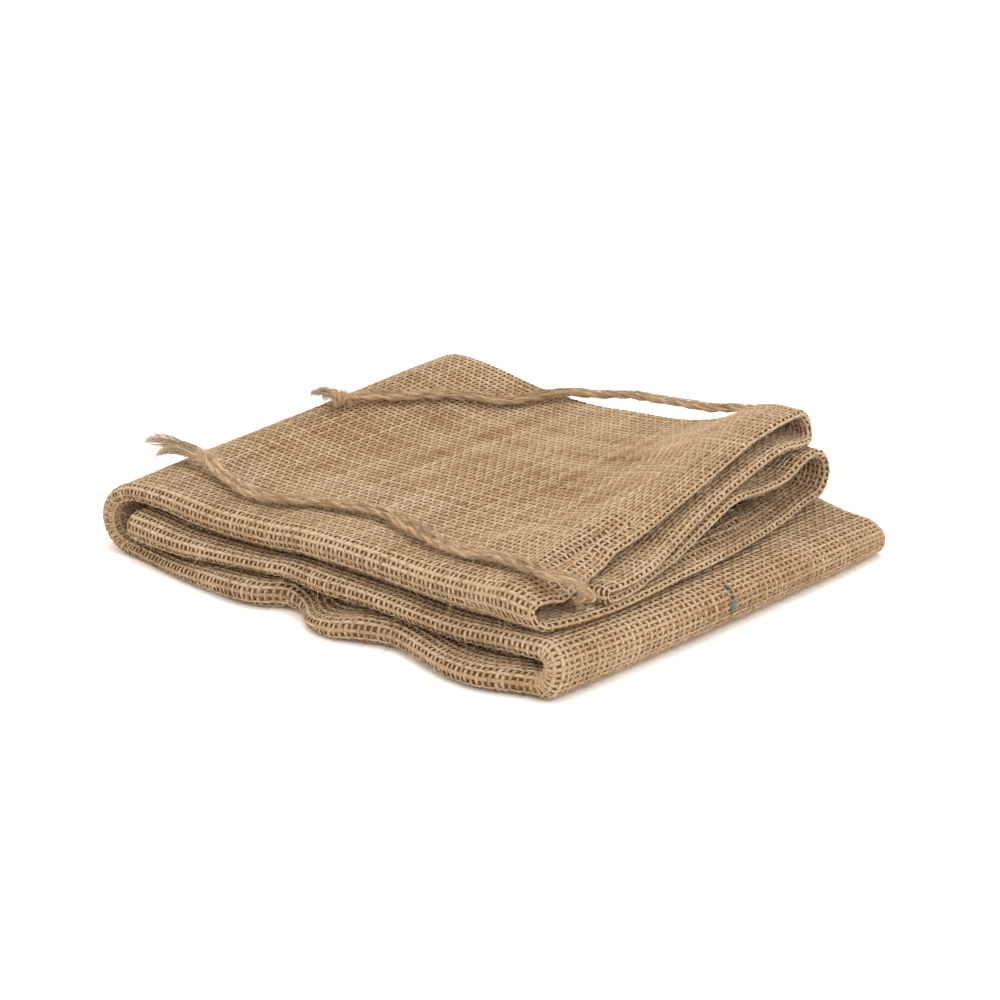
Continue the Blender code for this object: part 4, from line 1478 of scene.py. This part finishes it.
def yarn_tree() -> GrowthTree:
    """Build the tree that spins a flattened yarn along each line.

    It reads the lines' cloth_normal and width attributes, and passes their tone on.

    Returns:
        The tree.
    """
    tree = GrowthTree("spun_yarn", {"Width": "float", "Thickness": "float", "Sides": "int"})
    values = tree.inputs
    faced = tree.out("GeometryNodeSetCurveNormal", {
        "Curve": tree.out("GeometryNodeMeshToCurve", {"Mesh": values["Geometry"]}),
        "Normal": tree.out(ATTRIBUTE, {"Name": "cloth_normal"}, data_type="FLOAT_VECTOR")}, mode="FREE")
    return tree.finish(tree.tubes(
        faced, values["Sides"], values["Thickness"], values["Width"],
        tree.out(ATTRIBUTE, {"Name": "width"}, data_type="FLOAT")))


STRAND_SIDES, WISP_SIDES = 10, 3
WISP_STRAY = 0.22           # how unevenly wisps are placed around their strand
WISP_TONES, WISP_SIZES = (0.2, 0.95), (1.0, 3.2)
BULGE_SCALE = 210.0         # thick places in a metre of strand


def twine_tree() -> GrowthTree:
    """Build the tree that lays strands, and wisps around each of them, along every line.

    Returns:
        The tree.
    """
    tree = GrowthTree("laid_twine", {
        "Strands": "int", "Strand Radius": "float", "Lay Radius": "float", "Pitch": "float",
        "Step": "float", "Wisps": "int", "Wisp Radius": "float"})
    values = tree.inputs
    even = tree.out("GeometryNodeResampleCurve", {
        "Curve": tree.out("GeometryNodeMeshToCurve", {"Mesh": values["Geometry"]}),
        "Length": values["Step"]}, mode="LENGTH")

    def wind(geometry: Socket, amount: Feed, radius: Feed, pitch: Feed, stray: float,
             ) -> tuple[Socket, Socket]:
        """Copy each curve a number of times and wind the copies around it as a rope's strands.

        Args:
            geometry: the curves.
            amount: how many copies.
            radius: how far out they run.
            pitch: the length of one turn.
            stray: how unevenly they are placed, from 0.

        Returns:
            The copies, and each copy's number.
        """
        copies = tree.add("GeometryNodeDuplicateElements", {
            "Geometry": geometry, "Amount": amount}, domain="SPLINE")
        number = copies.outputs["Duplicate Index"]
        slip = tree.out(RANDOM, {"Min": 0.0, "Max": stray, "Seed": 5, "ID": number}, data_type="FLOAT")
        even_share = tree.out(MATH, (number, amount), operation="DIVIDE")
        share = tree.out(MATH, (even_share, slip), operation="ADD")
        along = tree.add("GeometryNodeSplineParameter").outputs["Length"]
        turn = tree.out(MATH, (tree.out(MATH, (along, pitch), operation="DIVIDE"), share), operation="ADD")
        out = tree.out("ShaderNodeVectorRotate", {
            "Vector": tree.out("GeometryNodeInputNormal"), "Axis": tree.out("GeometryNodeInputTangent"),
            "Angle": tree.out(MATH, (turn, 2 * math.pi), operation="MULTIPLY"),
        }, rotation_type="AXIS_ANGLE")
        uneven = tree.out(RANDOM, {
            "Min": 1.0 - stray / 2, "Max": 1.0 + stray, "Seed": 7, "ID": number}, data_type="FLOAT")
        reach = tree.out(MATH, (radius, uneven), operation="MULTIPLY")
        return tree.out("GeometryNodeSetPosition", {
            "Geometry": copies.outputs[0],
            "Offset": tree.out("ShaderNodeVectorMath", {"Vector": out, "Scale": reach}, operation="SCALE"),
        }), number

    strands, _ = wind(even, values["Strands"], values["Lay Radius"], values["Pitch"], 0.0)
    thickness = tree.out(MATH, (values["Strand Radius"], 2.0), operation="MULTIPLY")
    width = tree.out(ATTRIBUTE, {"Name": "width"}, data_type="FLOAT")
    cloud = tree.out("ShaderNodeTexNoise", {"Scale": BULGE_SCALE, "Detail": 1.0, "Roughness": 0.5})
    bulge = tree.out(MATH, (
        tree.out(MATH, (cloud, 0.5), operation="SUBTRACT"), values["Strand Radius"]), operation="MULTIPLY")
    body = tree.out("GeometryNodeSetPosition", {
        "Geometry": tree.tubes(strands, STRAND_SIDES, thickness, thickness, width),
        "Offset": tree.out("ShaderNodeVectorMath", {
            "Vector": tree.out("GeometryNodeInputNormal"), "Scale": bulge}, operation="SCALE")})
    # Wisps wind the other way around their strand, each at its own radius.
    wound, number = wind(strands, values["Wisps"], values["Strand Radius"],
                         tree.out(MATH, (values["Pitch"], -1.0), operation="MULTIPLY"), WISP_STRAY)
    tones, sizes = (
        tree.out(RANDOM, {"Min": low, "Max": high, "Seed": seed, "ID": number}, data_type="FLOAT")
        for (low, high), seed in ((WISP_TONES, 9), (WISP_SIZES, 13)))
    toned = tree.out(STORE, {
        "Geometry": wound, "Name": "tone", "Value": tones}, data_type="FLOAT", domain="POINT")
    wisp = tree.out(MATH, (values["Wisp Radius"], sizes), operation="MULTIPLY")
    joined = tree.add("GeometryNodeJoinGeometry", {0: body})
    feed(tree.tree, joined, {0: tree.tubes(toned, WISP_SIDES, wisp, wisp, width)})
    return tree.finish(joined.outputs[0])


# Shapes of a loose fibre that starts at the origin: the middle and the end of its bend.
FIBRE_BENDS = (
    ((0.35, 0.05, 0.35), (0.95, 0.0, 0.18)),
    ((0.10, 0.12, 0.50), (0.45, 0.30, 0.85)),
    ((0.45, -0.15, 0.25), (0.80, 0.25, 0.40)),
    ((0.30, 0.20, 0.20), (0.75, -0.05, 0.05)),
)
FIBRE_POINTS = 3
FIBRE_BASE = 1.15           # a fibre's thickness at its root, of which 1 is lost towards its tip
FIBRE_ROLL = 0.5            # radians
FIBRE_SIZES = (0.35, 1.3)
FIBRE_TONES = (0.2, 1.0)
FLOOR_AIR = 0.1 * MM


def fibre_tree() -> GrowthTree:
    """Build the tree that scatters loose bent fibres over a surface, as dense as its nap attribute says.

    Returns:
        The tree.
    """
    tree = GrowthTree("loose_fibres", {
        "Density": "float", "Length": "float", "Thickness": "float", "Lean": "float", "Seed": "int"})
    values = tree.inputs
    thin = tree.out(MATH, (values["Thickness"], values["Length"]), operation="DIVIDE")
    section = tree.out("GeometryNodeCurvePrimitiveCircle", {
        "Resolution": 3, "Radius": thin}, mode="RADIUS")
    nap = tree.out(ATTRIBUTE, {"Name": "nap"}, data_type="FLOAT")
    spots = tree.add("GeometryNodeDistributePointsOnFaces", {
        "Mesh": values["Geometry"], "Seed": values["Seed"],
        "Density": tree.out(MATH, (values["Density"], nap), operation="MULTIPLY"),
    }, distribute_method="RANDOM").outputs
    shapes = tree.add("GeometryNodeGeometryToInstance")
    along = tree.add("GeometryNodeSplineParameter").outputs["Factor"]
    taper = tree.out(MATH, (FIBRE_BASE, along), operation="SUBTRACT")
    for middle, end in FIBRE_BENDS:
        bend = tree.out("GeometryNodeCurveQuadraticBezier", {
            "Start": (0.0, 0.0, 0.0), "Middle": middle, "End": end})
        bend = tree.out("GeometryNodeResampleCurve", {"Curve": bend, "Count": FIBRE_POINTS}, mode="COUNT")
        feed(tree.tree, shapes, {0: tree.out("GeometryNodeCurveToMesh", {
            "Curve": bend, "Profile Curve": section, "Scale": taper})})
    roll, heading, size, tone = (
        tree.out(RANDOM, {"Min": low, "Max": high, "Seed": seed}, data_type="FLOAT")
        for low, high, seed in (
            (-FIBRE_ROLL, FIBRE_ROLL, 21), (0.0, 2 * math.pi, 22), (*FIBRE_SIZES, 23), (*FIBRE_TONES, 25)))
    spin = tree.out("ShaderNodeCombineXYZ", {"X": roll, "Y": values["Lean"], "Z": heading})
    turned = tree.out("FunctionNodeRotateRotation", {
        "Rotation": spots["Rotation"], "Rotate By": tree.out("FunctionNodeEulerToRotation", {"Euler": spin}),
    }, rotation_space="LOCAL")
    planted = tree.out("GeometryNodeInstanceOnPoints", {
        "Points": spots["Points"], "Instance": shapes.outputs[0], "Pick Instance": True,
        "Instance Index": tree.out(RANDOM, {
            "Min": 0, "Max": len(FIBRE_BENDS) - 1, "Seed": 24}, data_type="INT"),
        "Rotation": turned,
        "Scale": tree.out(MATH, (values["Length"], size), operation="MULTIPLY")})
    toned = tree.out(STORE, {
        "Geometry": planted, "Name": "tone", "Value": tone}, data_type="FLOAT", domain="INSTANCE")
    # Fibres that would reach under the floor lie on it.
    place = tree.add("ShaderNodeSeparateXYZ", {"Vector": tree.out("GeometryNodeInputPosition")}).outputs
    above = tree.out("ShaderNodeCombineXYZ", {
        "X": place["X"], "Y": place["Y"],
        "Z": tree.out(MATH, (place["Z"], FLOOR_AIR), operation="MAXIMUM")})
    return tree.finish(tree.out("GeometryNodeSetPosition", {
        "Geometry": tree.out("GeometryNodeRealizeInstances", {"Geometry": toned}), "Position": above}))


# ---------------------------------------------------------------- drawstrings


def smooth_route(points: Array, step: float) -> Array:
    """Lay points about a step apart on a smooth curve through a route's own points.

    Args:
        points: the route.
        step: how far apart its new points are.

    Returns:
        The new points.
    """
    before = np.concatenate([points[:1], points[:-1]])
    after = np.concatenate([points[2:], points[-1:]])
    result = []
    for b, start, end, a in zip(before[:-1], points[:-1], points[1:], after):
        count = max(1, round(float(np.linalg.norm(end - start)) / step))
        t = (np.arange(count) / count)[:, None]
        result.append(0.5 * (
            2 * start + (end - b) * t + (2 * b - 5 * start + 4 * end - a) * t ** 2
            + (3 * start - b - 3 * end + a) * t ** 3))
    return np.concatenate([*result, points[-1:]])


# A single loose fibre beside a twine: how far it drifts around it in radians, its width at the root and
# what it loses towards the tip, and the ranges of its width and tone.
FIBRE_DRIFT = 0.5
FIBRE_ROOT, FIBRE_THINNING = 1.1, 0.7
FIBRE_WIDTHS = (0.6, 1.5)
FIBRE_SHADES = (0.35, 1.0)


@dataclass
class Drawstring:
    """One pair of twines, from the mouth over the parcel to the knot that ties them together.

    Sizes are in metres where they aren't said to be parts or millimetres.
    """

    name: str
    route: tuple
    knot: tuple[float, float, float]
    tails: tuple
    fold: FoldMap
    seed: int
    lengths: tuple[float, float]
    diameter: float = 0.0029
    step: float = 0.0016
    pitch: float = 0.0200
    strand_radius: float = 0.00086
    lay_radius: float = 0.00064
    uneven: tuple[float, float] = (0.08, 8.0)   # how much the thickness drifts, and over how many steps
    # The knot, in millimetres: how its twines enter, wait and lie beside each other, how much of a tail
    # stays laid, and where it thins and to what.
    enter: float = 1.5
    waist: tuple[float, float] = (2.0, 0.9)
    laid_tail: float = 0.7
    thinned: tuple[float, float] = (0.45, 0.7)
    # Wraps of the knot: shift along it, lean, turns and radius in millimetres
    wraps: tuple = ((-2.1, 0.35, 1.2, 2.0), (0.2, -0.55, 1.1, 2.4), (1.9, 0.2, 1.2, 2.1))
    wrap_points: int = 30
    wrap_creep: float = 2.2
    wrap_width: float = 0.85
    # The tails' brushes: their radius, where it widens, fibres, and the locks that these hang in
    tail_radius: float = 0.0021
    tail_spread: tuple[float, float] = (0.65, 0.55)
    tail_points: int = 10
    tail_fibres: int = 120
    tail_locks: int = 8
    lock_sway: float = 0.9
    lock_bow: float = 1.2
    lock_droop: float = 0.9
    lock_lengths: tuple[float, float] = (0.72, 1.0)
    lock_tones: tuple[float, float] = (0.75, 1.0)
    lock_tone_share: float = 0.7
    curl: tuple[float, float, float] = (0.45, 1.2, 1.6)     # where it starts and ends, and how much
    bend: float = 1.4           # half waves of a lock's sway
    lock_stray: float = 0.6     # how far a lock strays from its even place, in their spacings
    fibre_stray: float = 0.45   # and a fibre from its lock's middle, in radians
    fibre_lengths: tuple[float, float] = (0.86, 1.0)
    fibre_reaches: tuple[float, float] = (0.15, 1.0)
    fibre_bow: float = 0.5
    # Single fibres that slip out of the lay: how many, over how many steps, and how far out
    strays: int = 260
    stray_steps: tuple[float, float] = (4.0, 12.0)
    stray_points: int = 6
    stray_lift: float = 3.2
    stray_lifts: tuple[float, float] = (0.1, 1.0)
    stray_reaches: tuple[float, float] = (0.75, 1.08)
    stray_low: float = 0.4      # how far below the twine's sides they start, in radians
    stray_seed: int = 7

    def centre_line(self, side: int) -> Array:
        """Lay the middle of one twine of the pair, beside its route.

        Args:
            side: the side, 1 or -1.

        Returns:
            Its points.
        """
        rows = np.array([row[:3] for row in self.route])
        grounded, spread = (np.array([row[i] for row in self.route]) for i in (3, 4))
        ahead = np.concatenate([rows[1:2, :2], rows[2:, :2], rows[-1:, :2]]) - np.concatenate(
            [rows[:1, :2], rows[:-1, :2]])
        beside = unit(np.stack([-ahead[:, 1], ahead[:, 0]], -1)) * (spread * side)[:, None]
        place = rows[:, :2] + beside
        top = self.fold.top_height(place[:, 0] / MM, place[:, 1] / MM) * MM
        up = np.where(grounded, rows[:, 2], rows[:, 2] + top)
        return smooth_route(self.place(np.column_stack([place, up])), self.step)

    def place(self, points: Values) -> Array:
        """Turn parcel places in metres to the frame's."""
        return np.asarray(points, float) - np.array([*CENTRE, 0.0]) * MM

    def knot_lines(self) -> list[dict[str, Array]]:
        """Lay the knot: both twines through its middle and out as tails, under its tight wraps.

        Returns:
            Each line's points, widths and tones.
        """
        ends = [self.centre_line(side)[-1] for side in (1, -1)]
        centre = self.place(self.knot)
        axis = unit(centre - (ends[0] + ends[1]) / 2)
        across = unit(np.cross(axis, (0.0, 0.0, 1.0)))
        up = np.cross(across, axis)
        lines = []
        for side, end, tail in zip((1, -1), ends, self.tails):
            waist = centre - (axis * self.waist[0] + across * side * self.waist[1]) * MM
            points = smooth_route(
                np.array([end - axis * self.enter * MM, end, waist, *self.place(tail)]), self.step)
            points = points[:round(len(points) * self.laid_tail)]
            start, loss = self.thinned
            lines.append({
                "points": points, "width": 1 - loss * ease(start, 1.0, np.linspace(0, 1, len(points)))})
        for shift, lean, turns, radius in self.wraps:
            turn = np.linspace(0, 2 * np.pi * turns, self.wrap_points)[:, None]
            creep = axis * ((turn / turn[-1] - 0.5) * self.wrap_creep + shift) * MM
            ring = (across * np.cos(turn) + (up + axis * lean) * np.sin(turn)) * radius * MM
            lines.append({
                "points": centre + creep + ring, "width": np.full(self.wrap_points, self.wrap_width)})
        return [{**line, "tone": np.full(len(line["points"]), 0.5)} for line in lines]

    def single_fibre(self, route: Array, turn: float, reach: Array, rng: np.random.Generator,
                     ) -> dict[str, Array]:
        """Lay one loose fibre beside a stretch of twine.

        Args:
            route: the stretch's middle.
            turn: which way around it the fibre lies, in radians.
            reach: its distance from the middle at each point.
            rng: the random numbers' source.

        Returns:
            Its points, normals, widths and tones.
        """
        side = unit(np.cross(unit(np.gradient(route, axis=0)), (0.0, 0.0, 1.0)))
        up = np.cross(side, unit(np.gradient(route, axis=0)))
        part = np.linspace(0, 1, len(route))
        angle = (turn + rng.normal(0, FIBRE_DRIFT) * part)[:, None]
        return {
            "points": route + (side * np.cos(angle) + up * np.sin(angle)) * reach[:, None],
            "cloth_normal": side,
            "width": (FIBRE_ROOT - FIBRE_THINNING * part ** 2) * rng.uniform(*FIBRE_WIDTHS),
            "tone": np.full(len(route), rng.uniform(*FIBRE_SHADES))}

    def frayed_lines(self) -> list[dict[str, Array]]:
        """Open the tails to brushes of fibre, whose ends spread and curl over.

        Returns:
            Each fibre's points, normals, widths and tones.
        """
        rng = np.random.default_rng(self.seed)
        lines = []
        part = np.linspace(0, 1, self.tail_points)
        bent = np.sin(part * np.pi * self.bend) * part
        curled = ease(*self.curl[:2], part) * self.curl[2]
        for tail in self.tails:
            points = smooth_route(self.place(tail), self.step)
            for lock in range(self.tail_locks):
                # The fibres of one lock lie on the same side, sway together and curl the same way.
                turned = 2 * np.pi * (lock + rng.uniform(0.0, self.lock_stray)) / self.tail_locks
                sway = rng.normal(0, 1, 3) * self.lock_sway * MM
                bow = rng.normal(0, 1, 3) * self.lock_bow * MM - (0.0, 0.0, self.lock_droop * MM)
                length = rng.uniform(*self.lock_lengths)
                tone = rng.uniform(*self.lock_tones)
                for _ in range(self.tail_fibres // self.tail_locks):
                    at = part * (len(points) - 1) * length * rng.uniform(*self.fibre_lengths)
                    out = rng.uniform(*self.fibre_reaches) ** 0.5
                    reach = self.tail_radius * out * (self.tail_spread[0] + self.tail_spread[1] * part)
                    line = self.single_fibre(
                        read_line(points, at), turned + rng.normal(0, self.fibre_stray), reach, rng)
                    own = rng.normal(0, 1, 3) * self.fibre_bow * MM
                    line["points"] = line["points"] + np.outer(bent, sway) + np.outer(curled, bow + own)
                    line["tone"] = blend(line["tone"], tone, self.lock_tone_share)
                    lines.append(line)
        return lines

    def stray_lines(self) -> list[dict[str, Array]]:
        """Let single fibres slip out of the twines' lay and stand off a little.

        Returns:
            Each fibre's points, normals, widths and tones.
        """
        rng = np.random.default_rng(self.seed + self.stray_seed)
        lines = []
        part = np.linspace(0, 1, self.stray_points)
        for side in (1, -1):
            points = self.centre_line(side)
            for _ in range(self.strays):
                length = rng.uniform(*self.stray_steps)
                at = rng.uniform(0, len(points) - 1 - length) + length * part
                if rng.random() < 0.5:
                    at = at[::-1]
                lift = rng.uniform(*self.stray_lifts) ** 2 * self.stray_lift * MM * part ** 2
                reach = self.diameter / 2 * rng.uniform(*self.stray_reaches) + lift
                turn = rng.uniform(-self.stray_low, math.pi + self.stray_low)
                lines.append(self.single_fibre(read_line(points, at), turn, reach, rng))
        return lines


# ---------------------------------------------------------------- the studio


@dataclass(frozen=True)
class Studio:
    """Camera, lights and floor."""

    camera_place: tuple[float, float, float] = (0.67435, -0.74004, 0.36538)
    pan: float = 41.911         # degrees to the left of +Y
    tilt: float = 18.800        # degrees down
    lens: float = 88.92         # millimetres, as the sensor's width
    sensor: float = 36.0
    view_end: float = 50.0
    floor_size: float = 16.0
    room_colour: str = "FFF6EA"
    room_strength: float = 1.22
    # Softboxes: where each stands, its side in metres, its power and its colour
    softboxes: tuple = (
        ("top_softbox", (-0.10, 0.25, 1.25), 1.1, 10.4, "F4F8FF"),
        ("right_softbox", (0.95, -0.25, 0.62), 0.7, 5.7, "F5F8FF"),
        ("left_softbox", (-0.55, -0.95, 0.60), 0.8, 2.8, "F3F7FF"),
    )

    def add_camera(self) -> None:
        """Set up the camera."""
        data = bpy.data.cameras.new("camera")
        data.lens, data.sensor_width, data.clip_end = self.lens, self.sensor, self.view_end
        camera = place_object("camera", data)
        camera.location = self.camera_place
        camera.rotation_euler = (math.radians(90.0 - self.tilt), 0.0, math.radians(self.pan))
        bpy.context.scene.camera = camera

    def add_lights(self) -> None:
        """Set up the softboxes and the white room around them."""
        for name, place, side, power, colour in self.softboxes:
            data = bpy.data.lights.new(name, "AREA")
            data.size, data.energy = side, power
            data.color = linear(colour)[:3]
            light = place_object(name, data)
            light.location = place
            light.rotation_euler = (-Vector(place)).to_track_quat("-Z", "Y").to_euler()
        world = bpy.data.worlds.new("white_room")
        world.use_nodes = True
        background = world.node_tree.nodes["Background"]
        background.inputs["Color"].default_value = linear(self.room_colour)
        background.inputs["Strength"].default_value = self.room_strength
        bpy.context.scene.world = world
        bpy.context.scene.view_settings.view_transform = "Standard"

    def add_floor(self, material: bpy.types.Material) -> None:
        """Lay the floor.

        Args:
            material: what it is made of.
        """
        half = self.floor_size / 2
        mesh = bpy.data.meshes.new("floor")
        corners = [(x * half, y * half, 0.0) for x, y in ((-1, -1), (1, -1), (1, 1), (-1, 1))]
        mesh.from_pydata(corners, [], [(0, 1, 2, 3)])
        mesh.materials.append(material)
        place_object("floor", mesh)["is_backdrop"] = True


# ---------------------------------------------------------------- making the sack


PIECE_TRIANGLES = 180_000


@dataclass
class Sack:
    """The whole sack: it grows its pieces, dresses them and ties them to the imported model.

    Sizes are in metres.
    """

    materials: Materials = field(default_factory=Materials)
    yarn_sides: int = 3
    flat_size: tuple[float, float] = (0.84, 0.79)
    twine_step: float = 0.0021
    wisps: int = 7
    knot_wisps: int = 9
    wisp_radius: float = 0.00016
    frayed_width: float = 0.00024
    knot_nap: float = 4.0       # how many more hairs a knot has than its twines
    # Loose fibres: how many on a square metre, their length, thickness and lean
    cloth_hairs: tuple[float, float, float, float] = (135_000.0, 0.0080, 0.00008, 0.40)
    twine_hairs: tuple[float, float, float, float] = (260_000.0, 0.0055, 0.00007, 0.25)
    cloth_seed: int = 5
    # The dyed stitches: width, thickness and sides
    stitch: tuple[float, float, int] = (0.00172, 0.0006, 5)

    def __post_init__(self) -> None:
        """Build the trees."""
        self.yarns, self.twines, self.fibres = yarn_tree(), twine_tree(), fibre_tree()

    def settle(self, piece: bpy.types.Object, node: str | None = None) -> bpy.types.Object:
        """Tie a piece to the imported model.

        Args:
            piece: the piece.
            node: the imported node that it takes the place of, if any.

        Returns:
            The piece.
        """
        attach(piece, ROOT)
        if node:
            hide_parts(node)
        LOG.info("%s: %d triangles", piece.name, sum(len(p.vertices) - 2 for p in piece.data.polygons))
        return piece

    def spin(self, name: str, lines: list[dict[str, Array]], finish: Finish, width: float,
             thickness: float, sides: int) -> bpy.types.Object:
        """Spin yarns or single fibres along lines.

        Args:
            name: the piece's name.
            lines: each line's points, normals, widths and tones.
            finish: the finish.
            width: their width.
            thickness: their thickness.
            sides: how many sides they have.

        Returns:
            The piece.
        """
        return self.yarns.grow(name, gather(name, lines, ("cloth_normal", "width", "tone")), {
            "Width": width, "Thickness": thickness, "Sides": sides, "Material": self.materials[finish]})

    def spin_chunks(self, name: str, lines: list[dict[str, Array]], width: float, thickness: float,
                    ) -> list[bpy.types.Object]:
        """Spin many yarns, in pieces that each stay under a set number of points.

        Args:
            name: what the pieces' names start with.
            lines: each yarn's points, normals, widths and tones.
            width: their width in millimetres.
            thickness: their thickness in millimetres.

        Returns:
            The pieces.
        """
        room = PIECE_TRIANGLES // (2 * self.yarn_sides)
        groups, held = [[]], 0
        for line in lines:
            if held + len(line["points"]) > room:
                groups.append([])
                held = 0
            groups[-1].append(line)
            held += len(line["points"])
        return [
            self.settle(self.spin(f"{name}_{i + 1}", group, Finish.YARN, width * MM, thickness * MM,
                                  self.yarn_sides))
            for i, group in enumerate(groups)]

    def grow_hairs(self, name: str, nap: bpy.types.Mesh, hairs: tuple, seed: int) -> bpy.types.Object:
        """Grow loose fibres on a carrier, which has their share of the density as its nap.

        Args:
            name: the piece's name.
            nap: the carrier.
            hairs: how many on a square metre, their length, thickness and lean.
            seed: the seed of their places and turns.

        Returns:
            The piece.
        """
        density, length, thickness, lean = hairs
        return self.fibres.grow(name, nap, {
            "Density": density, "Length": length, "Thickness": thickness, "Lean": lean, "Seed": seed,
            "Material": self.materials[Finish.FUZZ]})

    def twine_nap(self, twines: list[bpy.types.Object], knot: bpy.types.Object) -> bpy.types.Mesh:
        """Join twines and their knot to one carrier for hairs, which stand denser on the knot.

        Args:
            twines: the twines.
            knot: the knot.

        Returns:
            The carrier.
        """
        joined = bmesh.new()
        for piece in (*twines, knot):
            joined.from_mesh(piece.data)
        nap = bpy.data.meshes.new("twine_nap")
        joined.to_mesh(nap)
        joined.free()
        weights = np.ones(len(nap.vertices), np.float32)
        weights[-len(knot.data.vertices):] = self.knot_nap
        nap.attributes.new("nap", "FLOAT", "POINT").data.foreach_set("value", weights)
        return nap

    def make_drawstring(self, string: Drawstring) -> None:
        """Lay a pair of twines with its knot, its frayed tails and its loose fibres.

        Args:
            string: the pair.
        """
        laid = {
            "Strands": 2, "Strand Radius": string.strand_radius, "Lay Radius": string.lay_radius,
            "Pitch": string.pitch, "Step": self.twine_step, "Wisps": self.wisps,
            "Wisp Radius": self.wisp_radius, "Material": self.materials[Finish.TWINE]}
        knot = self.settle(
            self.twines.grow(f"knot_{string.name}_tied",
                             gather("knot", string.knot_lines(), ("width", "tone")),
                             {**laid, "Wisps": self.knot_wisps}),
            f"knot_{string.name}")
        frayed = self.settle(
            self.spin(f"frayed_ends_{string.name}", string.frayed_lines() + string.stray_lines(),
                      Finish.TWINE, self.frayed_width, self.frayed_width, 3))
        twines, lines = [], []
        for label, side in (("a", 1), ("b", -1)):
            points = string.centre_line(side)
            share, reach = string.uneven
            drifts = drift(np.random.default_rng(string.seed + side), len(points), reach)
            mesh = line_mesh("twine", [points], {
                "width": [1 + share * drifts], "tone": [np.full(len(points), 0.5)]})
            name = f"twine_{string.name}_{label}"
            twines.append(self.settle(self.twines.grow(f"{name}_laid", mesh, laid), name))
            lines.append(points)
        hairs = self.settle(
            self.grow_hairs(f"twine_fibres_{string.name}", self.twine_nap(twines, knot),
                            self.twine_hairs, string.seed))
        for i, (twine, points, length) in enumerate(zip(twines, lines, string.lengths)):
            LOG.info("%s: centre line %.4f m", twine.name,
                     np.linalg.norm(np.diff(points, axis=0), axis=1).sum())
            points[0].tolist()

    def make_cloth(self, cloth: WovenCloth) -> None:
        """Make the ground sheet, the yarns on it and the loose fibres on them.

        Args:
            cloth: the laid-out cloth.
        """
        for data, node in ((cloth.sheet_mesh(), "sack"), (cloth.seam_mesh(), None)):
            data.materials.append(self.materials[Finish.GROUND])
            self.settle(place_object(data.name, data), node)
        LOG.info("seen crossings: %d", cloth.open_cells.sum())
        weave = cloth.weave
        yarns = self.spin_chunks("warp_yarns", cloth.warp_lines(), weave.warp_width, weave.yarn_thickness)
        yarns += self.spin_chunks("weft_yarns", cloth.weft_lines(), weave.weft_width, weave.yarn_thickness)
        hairs = self.settle(
            self.grow_hairs("cloth_fibres", cloth.nap_mesh(), self.cloth_hairs, self.cloth_seed))
        mark = self.settle(
            self.spin("dyed_stitches", cloth.mark_lines(), Finish.MARK, *self.stitch))


def plain(box: tuple) -> list[list[float]]:
    """Turn a box's corners to plain lists of numbers."""
    return [[float(x) for x in corner] for corner in box]


def main() -> None:
    """Build the studio and the sack."""
    logging.basicConfig(level=logging.INFO, format="%(name)s: %(message)s")
    studio = Studio()
    studio.add_camera()
    sack, fold = Sack(), FoldMap()
    for name, (route, knot, tails, seed, lengths) in STRINGS.items():
        sack.make_drawstring(Drawstring(name, route, knot, tails, fold, seed, lengths))
    sack.make_cloth(WovenCloth(fold))
    studio.add_lights()
    studio.add_floor(sack.materials[Finish.PAPER])
    json.dumps({"cad": plain(CAD_BOX), "visual": plain(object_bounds())})


if __name__ == "__main__":
    main()
